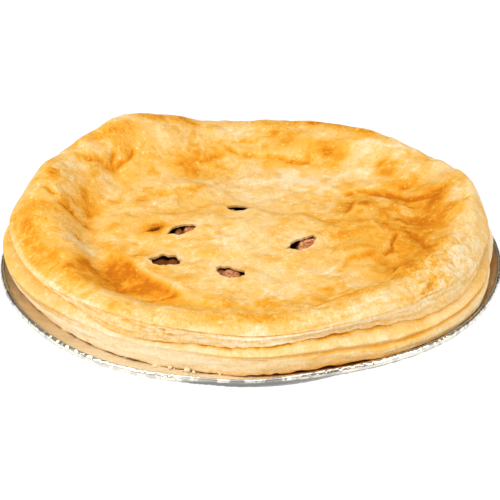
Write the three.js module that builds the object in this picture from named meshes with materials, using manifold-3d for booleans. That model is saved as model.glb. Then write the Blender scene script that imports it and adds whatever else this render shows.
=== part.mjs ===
// A steak and mushroom pie in its own foil tin: a pastry case that lines the tin, a dark meat filling
// and a puffed pastry lid with six slits cut through it, in millimetres with +Z up.
// The origin is the middle of the tin's underside. Angles are in degrees from +X towards +Y, so the
// front of the pie is at 270.
import * as THREE from "three";
import { mergeVertices } from "three/addons/utils/BufferGeometryUtils.js";
import Module from "manifold-3d";

// Clear space between two pieces that touch in the real pie, and the corners round a turn
const CLEARANCE = 0.35;
const SIDES = 88;
const FILLING_SIDES = 44;
const MERGE_DISTANCE = 1e-4;

// The foil tin: a flat base, a flared wall, a sloping flange and a rolled bead round the rim
const RIM_RADIUS = 122;
const RIM_HEIGHT = 24;
const BEAD_HALF_WIDTH = 1.25;
const BEAD_HALF_HEIGHT = 1.8;
const BEAD_DROP = 0.9;
const BEAD_HALF_TURN = 150;
const BEAD_STEPS = 8;
const FOIL_THICKNESS = 0.7;
const BASE_RADIUS = 86;
const FLANGE_INNER_RADIUS = 104;
const FLANGE_INNER_HEIGHT = 19;
const FLANGE_DROP = 0.9;

// Lines that run round the pie: a mean, and swells given as [angle, size, spread in degrees]
const RIM_BEND = { mean: 0, swells: [[268, 2.4, 11], [224, -1.2, 14], [298, 1.6, 10]] };
const FOOT_RADIUS = {
  mean: 117.4,
  swells: [[244, -9.3, 30], [288, -2.6, 9], [184, -0.4, 11], [95, -1.2, 40], [213, -2.4, 13]],
};
const FOOT_LIFT = { mean: 0.1, swells: [[318, 1.4, 16], [286, 0.9, 7]] };
const CUT_FACE_BULGE = { mean: 1, swells: [[182, 3.4, 12]] };
const GROOVE_DEPTH = { mean: 1.8, swells: [[184, -5.6, 14]] };
const CREVICE_INSET = { mean: 4.6, swells: [[178, -1.8, 16], [240, -3.6, 13], [302, 3.9, 11]] };
const CREVICE_HEIGHT = {
  mean: 34.5,
  swells: [[204, 3, 20], [240, -3.2, 12], [296, 2.8, 12], [320, -1, 8], [138, 3, 25]],
};
const EDGE_RADIUS = { mean: 115, swells: [[262, -10, 50], [180, 4.6, 14], [2, 2.5, 22], [26, 1.6, 10]] };
const EDGE_HEIGHT = { mean: 40, swells: [[276, -1.8, 12], [319, 1.5, 10], [180, 1.5, 20], [138, 3, 25]] };
const CREST_HEIGHT = {
  mean: 48.5,
  swells: [
    [265, -6, 48], [131, 13, 15.5], [5, 2.5, 20], [11, 2.4, 10], [30, -2.2, 4.5],
    [60, 2, 10], [98, -2, 12], [166, 7.5, 11], [185, 1.5, 14], [222, -1.5, 25],
  ],
};
const CREST_SHARE = {
  mean: 0.925,
  swells: [[265, -0.02, 40], [193, -0.075, 15], [335, -0.03, 18], [8, 0.02, 14]],
};
const FULLNESS = { mean: 0, swells: [[190, 0.85, 24]] };
const TROUGH_HEIGHT = {
  mean: 38.5,
  swells: [[222, -3, 20], [275, 1.5, 22], [138, 4, 22], [180, 1.5, 15], [0, 2, 30], [92, -1.5, 30]],
};
const TROUGH_SHARE = {
  mean: 0.6,
  swells: [[250, 0.19, 38], [180, 0.06, 25], [0, 0.09, 35], [88, -0.12, 30]],
};

// The pastry case: the rows of its cut face, as shares of its height and bulge, and of the shoulder over
// it, as shares of the rise to the lid and of the way in to it
const CUT_FACE_HEIGHT = 8;
const CUT_FACE_ROWS = [[0, 0], [0.32, 0.35], [0.65, 1], [1, 0.5]];
const SHOULDER_ROWS = [[0.2, 0], [0.6, 0.3], [1, 1]];
const CASE_THICKNESS = 4.5;

// Where the lid lies on the case, as shares of the radius where the two meet at the outside
const SEAT_SHARES = [0.97, 0.92, 0.86, 0.8];
const SEAT_CLEARANCE = 0.9;

// The lid: the height of its middle, the thickness of its sheet, and the rings of points on its faces
const MIDDLE_HEIGHT = 38.5;
const MIDDLE_SHARE = 0.3;
const LID_THICKNESS = 5;
const LID_MIDDLE_THICKNESS = 3;
const LID_THICKENS = [0.5, 0.8];
const LID_LEVELS = [0.78, 0.93];
const FULL_POWER = 2.5;
const LID_EDGE_RISE = 0.9;
const LID_EDGE_BULGE = 0.5;
const LID_TOP_STEP = 0.06;
const LID_TOP_STEPS = 14;
const ROLL_SHARES = [0.875, 0.905, 0.93, 0.955, 0.978, 1];
const LID_UNDER_SHARES = [0.7, 0.55, 0.35, 0.15];

// Swells and hollows of the lid: middle, height, half length, half width and turn of the long way
const LID_RELIEF = [
  { x: -6, y: -15, height: 2.5, length: 34, width: 30, turn: 0 },
  { x: -45, y: -48, height: 2, length: 20, width: 8, turn: -52 },
  { x: -64, y: -53, height: -2.5, length: 18, width: 7, turn: -51 },
  { x: -81, y: 8, height: -2, length: 24, width: 7, turn: -79 },
  { x: -94, y: 24, height: 1.5, length: 10, width: 5, turn: -55 },
  { x: -70, y: 47, height: -3, length: 8, width: 6, turn: -80 },
  { x: -78, y: 63, height: -1.6, length: 16, width: 4, turn: -67 },
  { x: -62, y: 64, height: -1.6, length: 15, width: 4, turn: -107 },
  { x: -28, y: 52, height: -1.5, length: 13, width: 6, turn: 0 },
  { x: -25, y: 66, height: 1.2, length: 16, width: 5, turn: 39 },
  { x: 25, y: 69, height: -1.2, length: 24, width: 5, turn: -8 },
  { x: 25, y: 30, height: -1, length: 22, width: 6, turn: -2 },
  { x: 78, y: 33, height: -2, length: 26, width: 5, turn: 19 },
  { x: 80, y: 44, height: 1.2, length: 24, width: 6, turn: 19 },
  { x: 59, y: -8, height: 2.2, length: 14, width: 10, turn: 13 },
  { x: 82, y: -8, height: -2, length: 18, width: 8, turn: -60 },
  { x: 70, y: -39, height: -1.6, length: 12, width: 6, turn: 45 },
  { x: 84, y: -46, height: 1.4, length: 20, width: 6, turn: 45 },
  { x: 47, y: -68, height: -1.3, length: 22, width: 5, turn: 36 },
];

// The slits in the lid: middle, length, width and turn of each lens-shaped cut
const SLITS = [
  { x: -46, y: -7.6, length: 8, width: 2.4, turn: 22 },
  { x: -32.6, y: -8.4, length: 15, width: 7.5, turn: 27 },
  { x: -6, y: 14, length: 10.5, width: 6.5, turn: -8 },
  { x: 25, y: -24.6, length: 18.5, width: 8, turn: 45 },
  { x: -9, y: -50.8, length: 15.5, width: 9, turn: -38 },
  { x: -39.4, y: -37.2, length: 14.6, width: 9.5, turn: 8 },
];
const SLIT_CURVE_STEPS = 6;

// The filling: the air under the lid's middle, and the chunks of meat that stand up under the slits
const AIR_LEAST = 1.2;
const AIR_DEPTH = 5;
const AIR_INNER_RADIUS = 58;
const AIR_OUTER_RADIUS = 76;
const FILLING_RADIUS = 84;
const FILLING_SHARES = [0.12, 0.24, 0.36, 0.48, 0.6, 0.72, 0.84, 0.93, 1];
const CHUNKS = [
  { x: -28, y: -2, height: 4.5, radius: 4.6 },
  { x: -10, y: 15, height: 2.5, radius: 3 },
  { x: 29, y: -17, height: 4.5, radius: 5 },
  { x: -10, y: -47, height: 4.5, radius: 5 },
  { x: -36, y: -32, height: 2.5, radius: 4.4 },
];

const { clamp, degToRad, smoothstep, lerp, euclideanModulo } = THREE.MathUtils;

function bell(distance, spread) {
  return Math.exp(-0.5 * (distance / spread) ** 2);
}

// The signed difference of two angles, from -180 to 180
function angleGap(first, second) {
  return euclideanModulo(first - second + 180, 360) - 180;
}

// A line's value at an angle: its mean with every swell's bell added
function around(line, angle) {
  const swells = line.swells.map(([middle, size, spread]) => size * bell(angleGap(angle, middle), spread));
  return swells.reduce((sum, size) => sum + size, line.mean);
}

function acrossFrom(angle, radius) {
  return [radius * Math.cos(degToRad(angle)), radius * Math.sin(degToRad(angle))];
}

// An elongated bell at (x, y), with its long way turned from +X
function oval(mound, x, y) {
  const turn = degToRad(mound.turn);
  const along = (x - mound.x) * Math.cos(turn) + (y - mound.y) * Math.sin(turn);
  const across = (y - mound.y) * Math.cos(turn) - (x - mound.x) * Math.sin(turn);
  return mound.height * bell(along, mound.length) * bell(across, mound.width);
}

// The upper face of the tin, from the flat base up the wall and along the flange to the bead
function tinTop(angle, radius) {
  const flangeEnd = RIM_RADIUS - 2 * BEAD_HALF_WIDTH;
  const wallShare = clamp((radius - BASE_RADIUS) / (FLANGE_INNER_RADIUS - BASE_RADIUS), 0, 1);
  const wall = lerp(FOIL_THICKNESS, FLANGE_INNER_HEIGHT, wallShare);
  const flange = Math.max(radius - FLANGE_INNER_RADIUS, 0) / (flangeEnd - FLANGE_INNER_RADIUS);
  const flangeRise = RIM_HEIGHT - FLANGE_DROP - FLANGE_INNER_HEIGHT;
  return wall + flange * (flangeRise + around(RIM_BEND, angle));
}

function footHeight(angle) {
  return tinTop(angle, around(FOOT_RADIUS, angle)) + CLEARANCE + around(FOOT_LIFT, angle);
}

function creviceRadius(angle) {
  return around(FOOT_RADIUS, angle) - around(CREVICE_INSET, angle);
}

// The lid's upper face: a rolled edge, a crest, a trough inside it, which is steeper where the roll is full,
// and a low middle, with the relief
function lidTop(angle, radius) {
  const [x, y] = acrossFrom(angle, radius);
  const share = radius / around(EDGE_RADIUS, angle);
  const crest = around(CREST_HEIGHT, angle);
  const crestShare = around(CREST_SHARE, angle);
  const trough = around(TROUGH_HEIGHT, angle);
  const troughShare = around(TROUGH_SHARE, angle);
  let height;
  if (share > crestShare) {
    const outward = Math.min((share - crestShare) / (1 - crestShare), 1);
    height = lerp(around(EDGE_HEIGHT, angle), crest, Math.cos((outward * Math.PI) / 2));
  } else if (share > troughShare) {
    const even = smoothstep(share, troughShare, crestShare);
    const full = 1 - ((crestShare - share) / (crestShare - troughShare)) ** FULL_POWER;
    height = lerp(trough, crest, lerp(even, full, around(FULLNESS, angle)));
  } else {
    height = lerp(MIDDLE_HEIGHT, trough, smoothstep(share, MIDDLE_SHARE * troughShare, troughShare));
  }
  const fade = 1 - smoothstep(share, crestShare, 1);
  return LID_RELIEF.reduce((sum, mound) => sum + fade * oval(mound, x, y), height);
}

// The lid's lower face: parallel to its top in the middle, and level on the pastry case at the edge
function lidUnder(angle, radius) {
  const share = radius / creviceRadius(angle);
  const thickness = lerp(LID_MIDDLE_THICKNESS, LID_THICKNESS, smoothstep(share, ...LID_THICKENS));
  const sheet = lidTop(angle, radius) - thickness;
  const level = around(CREVICE_HEIGHT, angle) + CLEARANCE;
  return Math.min(lerp(sheet, level, smoothstep(share, ...LID_LEVELS)), sheet);
}

// One closed mesh with shared corners, without the collapsed triangles at the poles
function joined(geometry) {
  geometry.deleteAttribute("normal");
  geometry.deleteAttribute("uv");
  const merged = mergeVertices(geometry, MERGE_DISTANCE);
  const corners = [];
  for (let first = 0; first < merged.index.count; first += 3) {
    const [a, b, c] = [0, 1, 2].map((step) => merged.index.getX(first + step));
    if (a !== b && b !== c && c !== a) corners.push(a, b, c);
  }
  merged.setIndex(corners);
  return merged;
}

// A lathe whose profile changes with the angle: profileAt(angle) lists [radius, height] points, as many
// for every angle, from the axis at the bottom round the outside to the axis at the top
function unevenLathe(profileAt, sides) {
  const start = profileAt(0).map(([radius, height]) => new THREE.Vector2(radius, height));
  const lathe = new THREE.LatheGeometry(start, sides);
  const position = lathe.getAttribute("position");
  for (let side = 0; side <= sides; side += 1) {
    const angle = (360 * (side % sides)) / sides;
    profileAt(angle).forEach(([radius, height], row) => {
      position.setXYZ(side * start.length + row, ...acrossFrom(angle, radius), height);
    });
  }
  return joined(lathe);
}

function tinProfile(angle) {
  const beadMiddle = RIM_RADIUS - BEAD_HALF_WIDTH;
  const beadHeight = RIM_HEIGHT - BEAD_DROP + around(RIM_BEND, angle);
  const turns = [0, BASE_RADIUS, FLANGE_INNER_RADIUS, beadMiddle - BEAD_HALF_WIDTH];
  const bead = Array.from({ length: BEAD_STEPS + 1 }, (_, step) => {
    const turn = degToRad(lerp(-BEAD_HALF_TURN, BEAD_HALF_TURN, step / BEAD_STEPS));
    return [beadMiddle + BEAD_HALF_WIDTH * Math.cos(turn), beadHeight + BEAD_HALF_HEIGHT * Math.sin(turn)];
  });
  const inside = turns.map((radius) => [radius, tinTop(angle, radius)]);
  const outside = inside.map(([radius, height]) => [radius, height - FOIL_THICKNESS]);
  return [...outside, ...bead, ...inside.reverse()];
}

function caseProfile(angle) {
  const foot = around(FOOT_RADIUS, angle);
  const footLevel = footHeight(angle);
  const bulge = around(CUT_FACE_BULGE, angle);
  const ridgeLevel = footLevel + CUT_FACE_HEIGHT;
  const groove = foot - around(GROOVE_DEPTH, angle);
  const crevice = creviceRadius(angle);
  const creviceLevel = around(CREVICE_HEIGHT, angle);
  const underside = FOIL_THICKNESS + CLEARANCE;
  return [
    [0, underside],
    [BASE_RADIUS - CLEARANCE, underside],
    [FLANGE_INNER_RADIUS - CLEARANCE, tinTop(angle, FLANGE_INNER_RADIUS) + CLEARANCE],
    ...CUT_FACE_ROWS.map(([up, out]) => [foot + out * bulge, footLevel + up * CUT_FACE_HEIGHT]),
    ...SHOULDER_ROWS.map(([up, inward]) => [
      lerp(groove, crevice, inward),
      lerp(ridgeLevel, creviceLevel, up),
    ]),
    ...SEAT_SHARES.map((share) => [share * crevice, lidUnder(angle, share * crevice) - SEAT_CLEARANCE]),
    [BASE_RADIUS - CASE_THICKNESS, underside + CASE_THICKNESS],
    [0, underside + CASE_THICKNESS],
  ];
}

function lidProfile(angle) {
  const edge = [around(EDGE_RADIUS, angle), around(EDGE_HEIGHT, angle)];
  const lower = [creviceRadius(angle) + LID_EDGE_RISE, around(CREVICE_HEIGHT, angle) + LID_EDGE_RISE];
  const under = [...SEAT_SHARES, ...LID_UNDER_SHARES, 0].map((share) => share * creviceRadius(angle));
  const inner = Array.from({ length: LID_TOP_STEPS + 1 }, (_, step) => step * LID_TOP_STEP);
  const top = [...inner, ...ROLL_SHARES].map((share) => share * edge[0]);
  return [
    ...under.reverse().map((radius) => [radius, lidUnder(angle, radius)]),
    lower,
    [lerp(lower[0], edge[0], 0.5) + LID_EDGE_BULGE, lerp(lower[1], edge[1], 0.5)],
    ...top.reverse().map((radius) => [radius, lidTop(angle, radius)]),
  ];
}

// The filling's upper face: it hangs back from the lid in the middle, apart from the chunks of meat
function fillingTop(angle, radius) {
  const [x, y] = acrossFrom(angle, radius);
  const ceiling = lidUnder(angle, radius) - AIR_LEAST;
  const air = AIR_DEPTH * (1 - smoothstep(radius, AIR_INNER_RADIUS, AIR_OUTER_RADIUS));
  const meat = CHUNKS.map((chunk) => chunk.height * bell(Math.hypot(x - chunk.x, y - chunk.y), chunk.radius));
  return Math.min(ceiling - air + Math.max(...meat), ceiling);
}

function fillingProfile(angle) {
  const floor = FOIL_THICKNESS + CASE_THICKNESS + 2 * CLEARANCE;
  const floorRadius = BASE_RADIUS - CASE_THICKNESS - 2 * CLEARANCE;
  const top = [0, ...FILLING_SHARES].map((share) => share * FILLING_RADIUS);
  return [
    [0, floor],
    [floorRadius, floor],
    ...top.reverse().map((radius) => [radius, fillingTop(angle, radius)]),
  ];
}

// An upright prism with two curved sides that meet at pointed ends
function slitCutter(slit) {
  const half = slit.length / 2;
  const outline = new THREE.Shape();
  outline.moveTo(-half, 0);
  outline.quadraticCurveTo(0, slit.width, half, 0);
  outline.quadraticCurveTo(0, -slit.width, -half, 0);
  const cutter = new THREE.ExtrudeGeometry(outline, {
    depth: MIDDLE_HEIGHT,
    bevelEnabled: false,
    curveSegments: SLIT_CURVE_STEPS,
  });
  cutter.rotateZ(degToRad(slit.turn));
  cutter.translate(slit.x, slit.y, MIDDLE_HEIGHT / 2);
  return joined(cutter);
}

const wasm = await Module();
wasm.setup();

function toManifold(geometry) {
  return new wasm.Manifold(
    new wasm.Mesh({
      numProp: 3,
      vertProperties: new Float32Array(geometry.getAttribute("position").array),
      triVerts: new Uint32Array(geometry.index.array),
    }),
  );
}

function fromManifold(solid) {
  const { vertProperties, triVerts } = solid.getMesh();
  const geometry = new THREE.BufferGeometry();
  geometry.setAttribute("position", new THREE.BufferAttribute(vertProperties, 3));
  geometry.setIndex(Array.from(triVerts));
  return geometry;
}

function slitLid() {
  const whole = toManifold(unevenLathe(lidProfile, SIDES));
  return fromManifold(SLITS.reduce((lid, slit) => lid.subtract(toManifold(slitCutter(slit))), whole));
}

function piece(name, geometry, look) {
  geometry.computeVertexNormals();
  const mesh = new THREE.Mesh(geometry, new THREE.MeshStandardMaterial(look));
  mesh.name = name;
  return mesh;
}

const foil = { color: 0xc9c9c6, roughness: 0.3, metalness: 1 };
const casePastry = { color: 0xe8bf78, roughness: 0.75, metalness: 0 };
const gravy = { color: 0x4a2a1c, roughness: 0.4, metalness: 0 };
const lidPastry = { color: 0xe6a850, roughness: 0.6, metalness: 0 };

const pie = new THREE.Group();
pie.add(
  piece("foil_tin", unevenLathe(tinProfile, SIDES), foil),
  piece("bottom_crust", unevenLathe(caseProfile, SIDES), casePastry),
  piece("filling", unevenLathe(fillingProfile, FILLING_SIDES), gravy),
  piece("top_crust", slitLid(), lidPastry),
);

export default pie;
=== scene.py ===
import math

import bpy
import numpy as np
from mathutils import Matrix


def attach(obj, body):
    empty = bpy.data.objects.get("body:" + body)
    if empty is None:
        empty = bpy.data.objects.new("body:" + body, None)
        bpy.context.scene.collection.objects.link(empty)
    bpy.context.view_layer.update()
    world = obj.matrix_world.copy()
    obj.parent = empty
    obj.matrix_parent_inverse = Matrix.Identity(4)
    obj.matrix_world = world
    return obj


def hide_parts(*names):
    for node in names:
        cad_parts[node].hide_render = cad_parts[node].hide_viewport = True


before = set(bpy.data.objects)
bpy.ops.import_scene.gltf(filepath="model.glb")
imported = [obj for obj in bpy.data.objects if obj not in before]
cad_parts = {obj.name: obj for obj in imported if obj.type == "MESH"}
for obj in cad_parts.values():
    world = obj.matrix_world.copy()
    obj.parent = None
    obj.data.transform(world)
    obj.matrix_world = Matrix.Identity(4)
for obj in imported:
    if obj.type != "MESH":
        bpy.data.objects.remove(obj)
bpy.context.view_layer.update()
scene = bpy.context.scene

MM = 0.001

# The foil tin
RIM_RADIUS = 122.0
RIM_HEIGHT = 24.0
BEAD_HALF_WIDTH = 1.25
BEAD_HALF_HEIGHT = 1.8
BEAD_DROP = 0.9
FLANGE_END = RIM_RADIUS - 2.0 * BEAD_HALF_WIDTH
FOIL_THICKNESS = 0.5
BASE_RADIUS = 86.0
FLANGE_INNER_RADIUS = 104.0
FLANGE_INNER_HEIGHT = 19.0
FLANGE_DROP = 0.9
FLUTE_COUNT = 96.0
FLUTE_DEPTH = 0.35
CLEARANCE = 0.35

# Lines that run round the pie: a mean, and swells given as (angle, size, spread in degrees)
RIM_BEND = (0.0, [(284, 3.7, 22), (258, 0.4, 8), (270, -1.5, 7), (330, -0.6, 14), (212, 1.0, 9)])
RIM_SPREAD = (0.0, [(356, 1.0, 14)])
FOOT_RADIUS = (
    117.4,
    [
        (244, -9.3, 30),
        (288, -2.6, 9),
        (184, -0.4, 11),
        (95, -1.2, 40),
        (213, -1.4, 13),
        (256, -1.8, 7),
        (324, 1.9, 16),
        (351, -2.4, 8),
    ],
)
FOOT_LIFT = (0.1, [(290, 1.0, 5), (271, 0.5, 8)])
CUT_FACE_BULGE = (1.0, [(182, 3.4, 12), (4, 3.0, 9)])
GROOVE_DEPTH = (0.0, [(306, 2.0, 18), (60, 1.0, 50)])
CREVICE_INSET = (4.6, [(178, -1.8, 16), (240, -3.6, 13), (302, 3.9, 11)])
CREVICE_HEIGHT = (
    34.5,
    [
        (184, 2.4, 9),
        (204, -1.2, 10),
        (222, 1.2, 9),
        (240, -3.2, 12),
        (267, -1.5, 10),
        (296, 1.0, 11),
        (314, -1.6, 10),
        (138, 3, 25),
    ],
)
EDGE_RADIUS = (115.0, [(262, -10, 50), (180, 4.6, 14), (2, 2.5, 22), (26, 1.6, 10)])
EDGE_HEIGHT = (
    40.0,
    [(272, -1.6, 10), (304, 1.4, 14), (322, 1.0, 9), (180, 1.5, 20), (204, -3.2, 12), (138, 3, 25)],
)
CREST_HEIGHT = (
    48.5,
    [
        (265, -6, 48),
        (131, 13, 15.5),
        (5, 2.5, 20),
        (11, 2.4, 10),
        (30, -2.2, 4.5),
        (60, 2, 10),
        (98, -2, 12),
        (166, 7.5, 11),
        (185, 1.5, 14),
        (222, -1.5, 25),
    ],
)
CREST_SHARE = (0.925, [(265, -0.02, 40), (193, -0.075, 15), (335, -0.03, 18), (8, 0.02, 14)])
TROUGH_HEIGHT = (
    38.5,
    [(222, -3, 20), (275, 1.5, 22), (138, 4, 22), (180, 1.5, 15), (0, 2, 30), (92, -1.5, 30)],
)
FULLNESS = (0.0, [(190, 0.85, 24)])
TROUGH_SHARE = (0.6, [(250, 0.19, 38), (180, 0.06, 25), (0, 0.09, 35), (88, -0.12, 30)])

# How far the pastry is baked, from 0, cream, to 1, deep brown, and how much paler its crest and its lip are,
# as such lines, and for the lid's skin and the crumbs as plain numbers; the lid's low side, the seam and the
# groove take painted shade as well
CREST_PALENESS = (0.03, [(285, 0.17, 55)])
LIP_PALENESS = (0.0, [(208, 0.30, 20)])
SIDE_BAKE = (0.14, [(208, -0.06, 20), (233, 0.07, 9), (276, -0.09, 14), (328, 0.03, 16)])
# Painted shade low on the lid's side at the front right, under its overhang
LOW_SIDE_SHADE = (0.08, [(289, 0.08, 14)])
# Browning and painted shade in the crevice where lid and case meet
SEAM_BAKE_AND_SHADE = (0.10, [(340, -0.07, 20), (200, 0.05, 22)])
FACE_BAKE = (0.02, [(295, 0.28, 17), (330, 0.10, 20), (198, 0.05, 21)])
FACE_FOOT_BAKE = (0.10, [(277, 0.18, 14)])
# Orange in the groove of the case, as browning and painted shade
GROOVE_BAKE_AND_SHADE = (0.0, [(300, 0.36, 20)])
SHOULDER_BAKE = (
    0.22,
    [(267, 0.13, 9), (335, 0.14, 17), (246, -0.14, 18), (198, 0.22, 21), (184, 0.10, 8), (295, 0.06, 17)],
)
LID_BAKE = 0.44
CRUMB_BAKE = 0.08

# Marks of the foil as such lines: how far the painted shade under the bead reaches up in mm, how strong the
# painted shade in its crimps and the painted dark reflections at its ends are, how strong the painted
# reflection of the pastry on the flange is, and how far the grease with painted shade reaches out from the
# case in mm
BEAD_SHADE = (0.0, [(268, 2.0, 9), (245, -1.6, 9)])
CRIMP_SHADE = (0.85, [(304, -0.5, 20), (247, -0.55, 9), (226, -0.45, 11)])
BEAD_END_REFLECTION = (0.0, [(182, 0.6, 12), (2, 0.6, 12)])
FLANGE_PASTRY_REFLECTION = (0.0, [(205, 1.0, 22), (354, 1.0, 14)])
GREASE_AND_SHADE_REACH = (0.3, [(290, 2.4, 5), (271, 1.2, 8), (357, 7.0, 8)])

# The pastry case and where the lid lies on it
CUT_FACE_HEIGHT = (8.0, [(303, -3.6, 15), (205, -4.4, 14)])
SHOULDER_SWELL = (0.0, [(186, 4.0, 15)])
RIDGE_SWELL = 0.55
FOOT_CLEARANCE = 0.1
SEAM_RAGGED = 0.6
SEAM_COVER = 0.4
CASE_THICKNESS = 4.5
SEAT_SHARES = [0.97, 0.92, 0.86, 0.8]
SEAT_CLEARANCE = 0.9

# The lid's sheet
MIDDLE_HEIGHT = 38.5
MIDDLE_SHARE = 0.3
LID_THICKNESS = 5.0
LID_MIDDLE_THICKNESS = 2.0
LID_EDGE_RISE = 0.6
LID_EDGE_BULGE = 0.5
LID_ROLL_SHARE = 0.86
LID_SHARP_ANGLE = 48.0
SIDE_HOLLOW = (0.0, [(290, 1.5, 13)])
SIDE_LINE_HEIGHT = 0.045
BUBBLE_REACH = 104.0

# Swells and hollows of the lid: x, y, height, half length, half width and turn of the long way
LID_RELIEF = [
    (-6, -15, 2.5, 34, 30, 0),
    (-45, -48, 2, 20, 8, -52),
    (-64, -53, -2.5, 18, 7, -51),
    (-81, 8, -2, 24, 7, -79),
    (-94, 24, 1.5, 10, 5, -55),
    (-70, 47, -3, 8, 6, -80),
    (-78, 63, -1.6, 16, 4, -67),
    (-62, 64, -1.6, 15, 4, -107),
    (-28, 52, -1.5, 13, 6, 0),
    (-25, 66, 1.2, 16, 5, 39),
    (25, 69, -1.2, 24, 5, -8),
    (25, 30, -1, 22, 6, -2),
    (78, 33, -2, 26, 5, 19),
    (80, 44, 1.2, 24, 6, 19),
    (59, -8, 2.2, 14, 10, 13),
    (82, -8, -2, 18, 8, -60),
    (70, -39, -1.6, 12, 6, 45),
    (84, -46, 1.4, 20, 6, 45),
    (47, -68, -1.3, 22, 5, 36),
]

# Folds of the lid's skin: width, depth of the crease, how far the skin on the left of the line stands up over
# the other side, and the points it runs through
LID_FOLDS = [
    (1.4, 0.7, 4.2, [(-61, -34), (-55, -43), (-43, -59), (-36, -65), (-29, -74)]),
    (1.6, 0.4, 1.4, [(-31, -73), (-22, -79), (-10, -83), (4, -84)]),
    (2.2, 0.5, 1.0, [(-82, -48), (-73, -34), (-59, -37)]),
    (4.0, 0.3, 1.5, [(-4, 13), (-15, 18), (-25, 14), (-35, 7), (-54, 3)]),
    (4.0, 0.3, 1.4, [(29, 1), (12, 8), (-4, 15)]),
    (3.2, 0.5, 2.2, [(47, -14), (34, -2), (24, 13)]),
    (1.4, 1.2, 1.2, [(41, 29), (55, 35), (61, 34), (73, 32), (80, 23), (94, 20), (100, 24)]),
    (1.5, 0.9, 2.6, [(85, 9), (77, 15), (68, 27), (60, 28), (52, 20), (47, 5)]),
    (1.6, -0.7, 0.0, [(54, 9), (58, 5), (60, -7), (65, -18)]),
    (0.9, 1.6, 1.0, [(60, -34), (66, -29), (67, -22), (71, -14)]),
    (1.2, 0.9, 1.2, [(38, -52), (46, -40), (54, -36), (62, -32)]),
    (1.3, 1.1, 0.8, [(71, -9), (79, -14), (84, -31), (87, -44)]),
    (1.4, 1.1, 1.8, [(90, -43), (79, -47), (73, -45), (66, -54), (61, -58)]),
    (1.5, 0.4, 0.8, [(24, -73), (41, -64), (49, -55), (55, -51), (62, -58)]),
    (1.3, 1.1, 0.9, [(70, -61), (59, -68), (48, -73), (36, -80), (24, -87)]),
    (1.0, 1.5, 0.7, [(-101, 13), (-97, 9), (-93, 7)]),
    (1.2, 1.4, 0.9, [(-76, -6), (-82, 1), (-88, 2), (-95, 3)]),
    (2.0, 0.5, 0.4, [(-80, 38), (-82, 26), (-80, 12), (-78, 2)]),
    (1.4, 1.6, 0.5, [(-86, 46), (-77, 50), (-70, 47)]),
    (1.2, 1.5, 0.4, [(-69, 60), (-71, 53), (-70, 47)]),
    (1.4, 1.6, 0.5, [(-60, 66), (-62, 57), (-67, 52), (-70, 47)]),
    (1.4, -0.6, 0.0, [(-69, 46), (-76, 38), (-79, 32)]),
    (1.1, 1.3, 0.7, [(-15, 81), (0, 76), (14, 75), (21, 72), (37, 68)]),
    (1.0, 0.8, 0.4, [(-23, 83), (-10, 87), (5, 87)]),
    (1.0, 0.7, 0.6, [(-40, 34), (-28, 34), (-18, 43), (-12, 53)]),
    (1.6, 0.7, 0.8, [(-46, 57), (-30, 64), (-8, 80)]),
    (1.8, 0.6, 0.6, [(108, 8), (101, -8), (92, -18)]),
    (1.2, 0.5, 0.3, [(102, 30), (106, 16), (104, -2)]),
    (1.8, 0.4, 0.7, [(-6, -30), (-17, -27), (-28, -28)]),
    (1.5, 0.4, 0.6, [(20, -32), (14, -40), (5, -46)]),
    (2.0, 0.5, 0.6, [(-60, 20), (-46, 28), (-34, 30)]),
    (1.4, 0.4, 0.5, [(12, 46), (22, 52), (30, 62)]),
    (0.7, 0.9, 0.4, [(16, -104), (26, -101), (36, -97), (44, -93), (52, -88), (60, -84)]),
    (0.7, 0.8, 0.3, [(50, -91), (59, -86), (68, -81), (78, -75), (88, -65), (96, -55)]),
    (0.8, 0.8, 0.4, [(87, -48), (95, -40), (101, -33)]),
    (0.8, 0.7, 0.3, [(86, -51), (91, -52), (97, -48), (102, -38)]),
    (0.8, 0.7, 0.3, [(68, -63), (77, -60), (86, -57)]),
    (0.8, 0.7, 0.3, [(72, -72), (79, -66), (83, -62)]),
    (0.8, 0.6, 0.3, [(86, -58), (89, -64), (88, -70)]),
    (0.8, 0.6, 0.2, [(76, -78), (83, -74), (88, -66)]),
]

# Torn pits in the lid: angle, distance from the axis, depth, half length round the pie and half width
TORN_PITS = [
    (321.5, 106.5, 1.6, 2.4, 1.1),
    (319.2, 107.0, 1.9, 1.7, 1.1),
    (316.5, 107.5, 1.5, 1.2, 0.9),
    (192.4, 84, 1.2, 1.8, 1.1),
]

# Where the skin round the pits is flaky: x, y, how strongly, half length, half width and turn
TORN_FLAKES = (82, -63, 1.0, 13, 8, 45)

# Crinkled places of the skin: x, y, how strongly, half length, half width and turn
CRINKLES = [
    (84, -62, 1.0, 16, 9, 45),
    (100, -38, 0.7, 8, 8, 0),
    (-88, 6, 0.7, 10, 6, -60),
    (-80, -21, 0.8, 9, 6, -60),
    (-10, 52, 0.6, 10, 8, 0),
    (-38, 25, 0.4, 14, 10, 0),
    (-40, -96, 0.5, 20, 5, -18),
    (30, -92, 0.4, 24, 6, 20),
]

# Lines between the leaves of the lid's side: share of the way up, angle, spread in degrees and depth
SIDE_LINES = [
    (0.93, 234, 22, 1.1),
    (0.94, 276, 16, 1.0),
    (0.90, 318, 12, 0.7),
    (0.88, 205, 20, 0.9),
    (0.55, 200, 16, 0.9),
    (0.30, 212, 18, 0.8),
    (0.70, 226, 12, 0.8),
    (0.28, 240, 11, 0.8),
    (0.52, 243, 9, 1.0),
    (0.76, 246, 8, 0.7),
    (0.55, 272, 14, 0.6),
    (0.34, 300, 16, 0.8),
    (0.66, 318, 9, 0.6),
    (0.45, 336, 10, 0.7),
    (0.50, 10, 20, 0.6),
    (0.35, 60, 30, 0.6),
    (0.60, 110, 30, 0.6),
    (0.40, 160, 20, 0.6),
]

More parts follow.
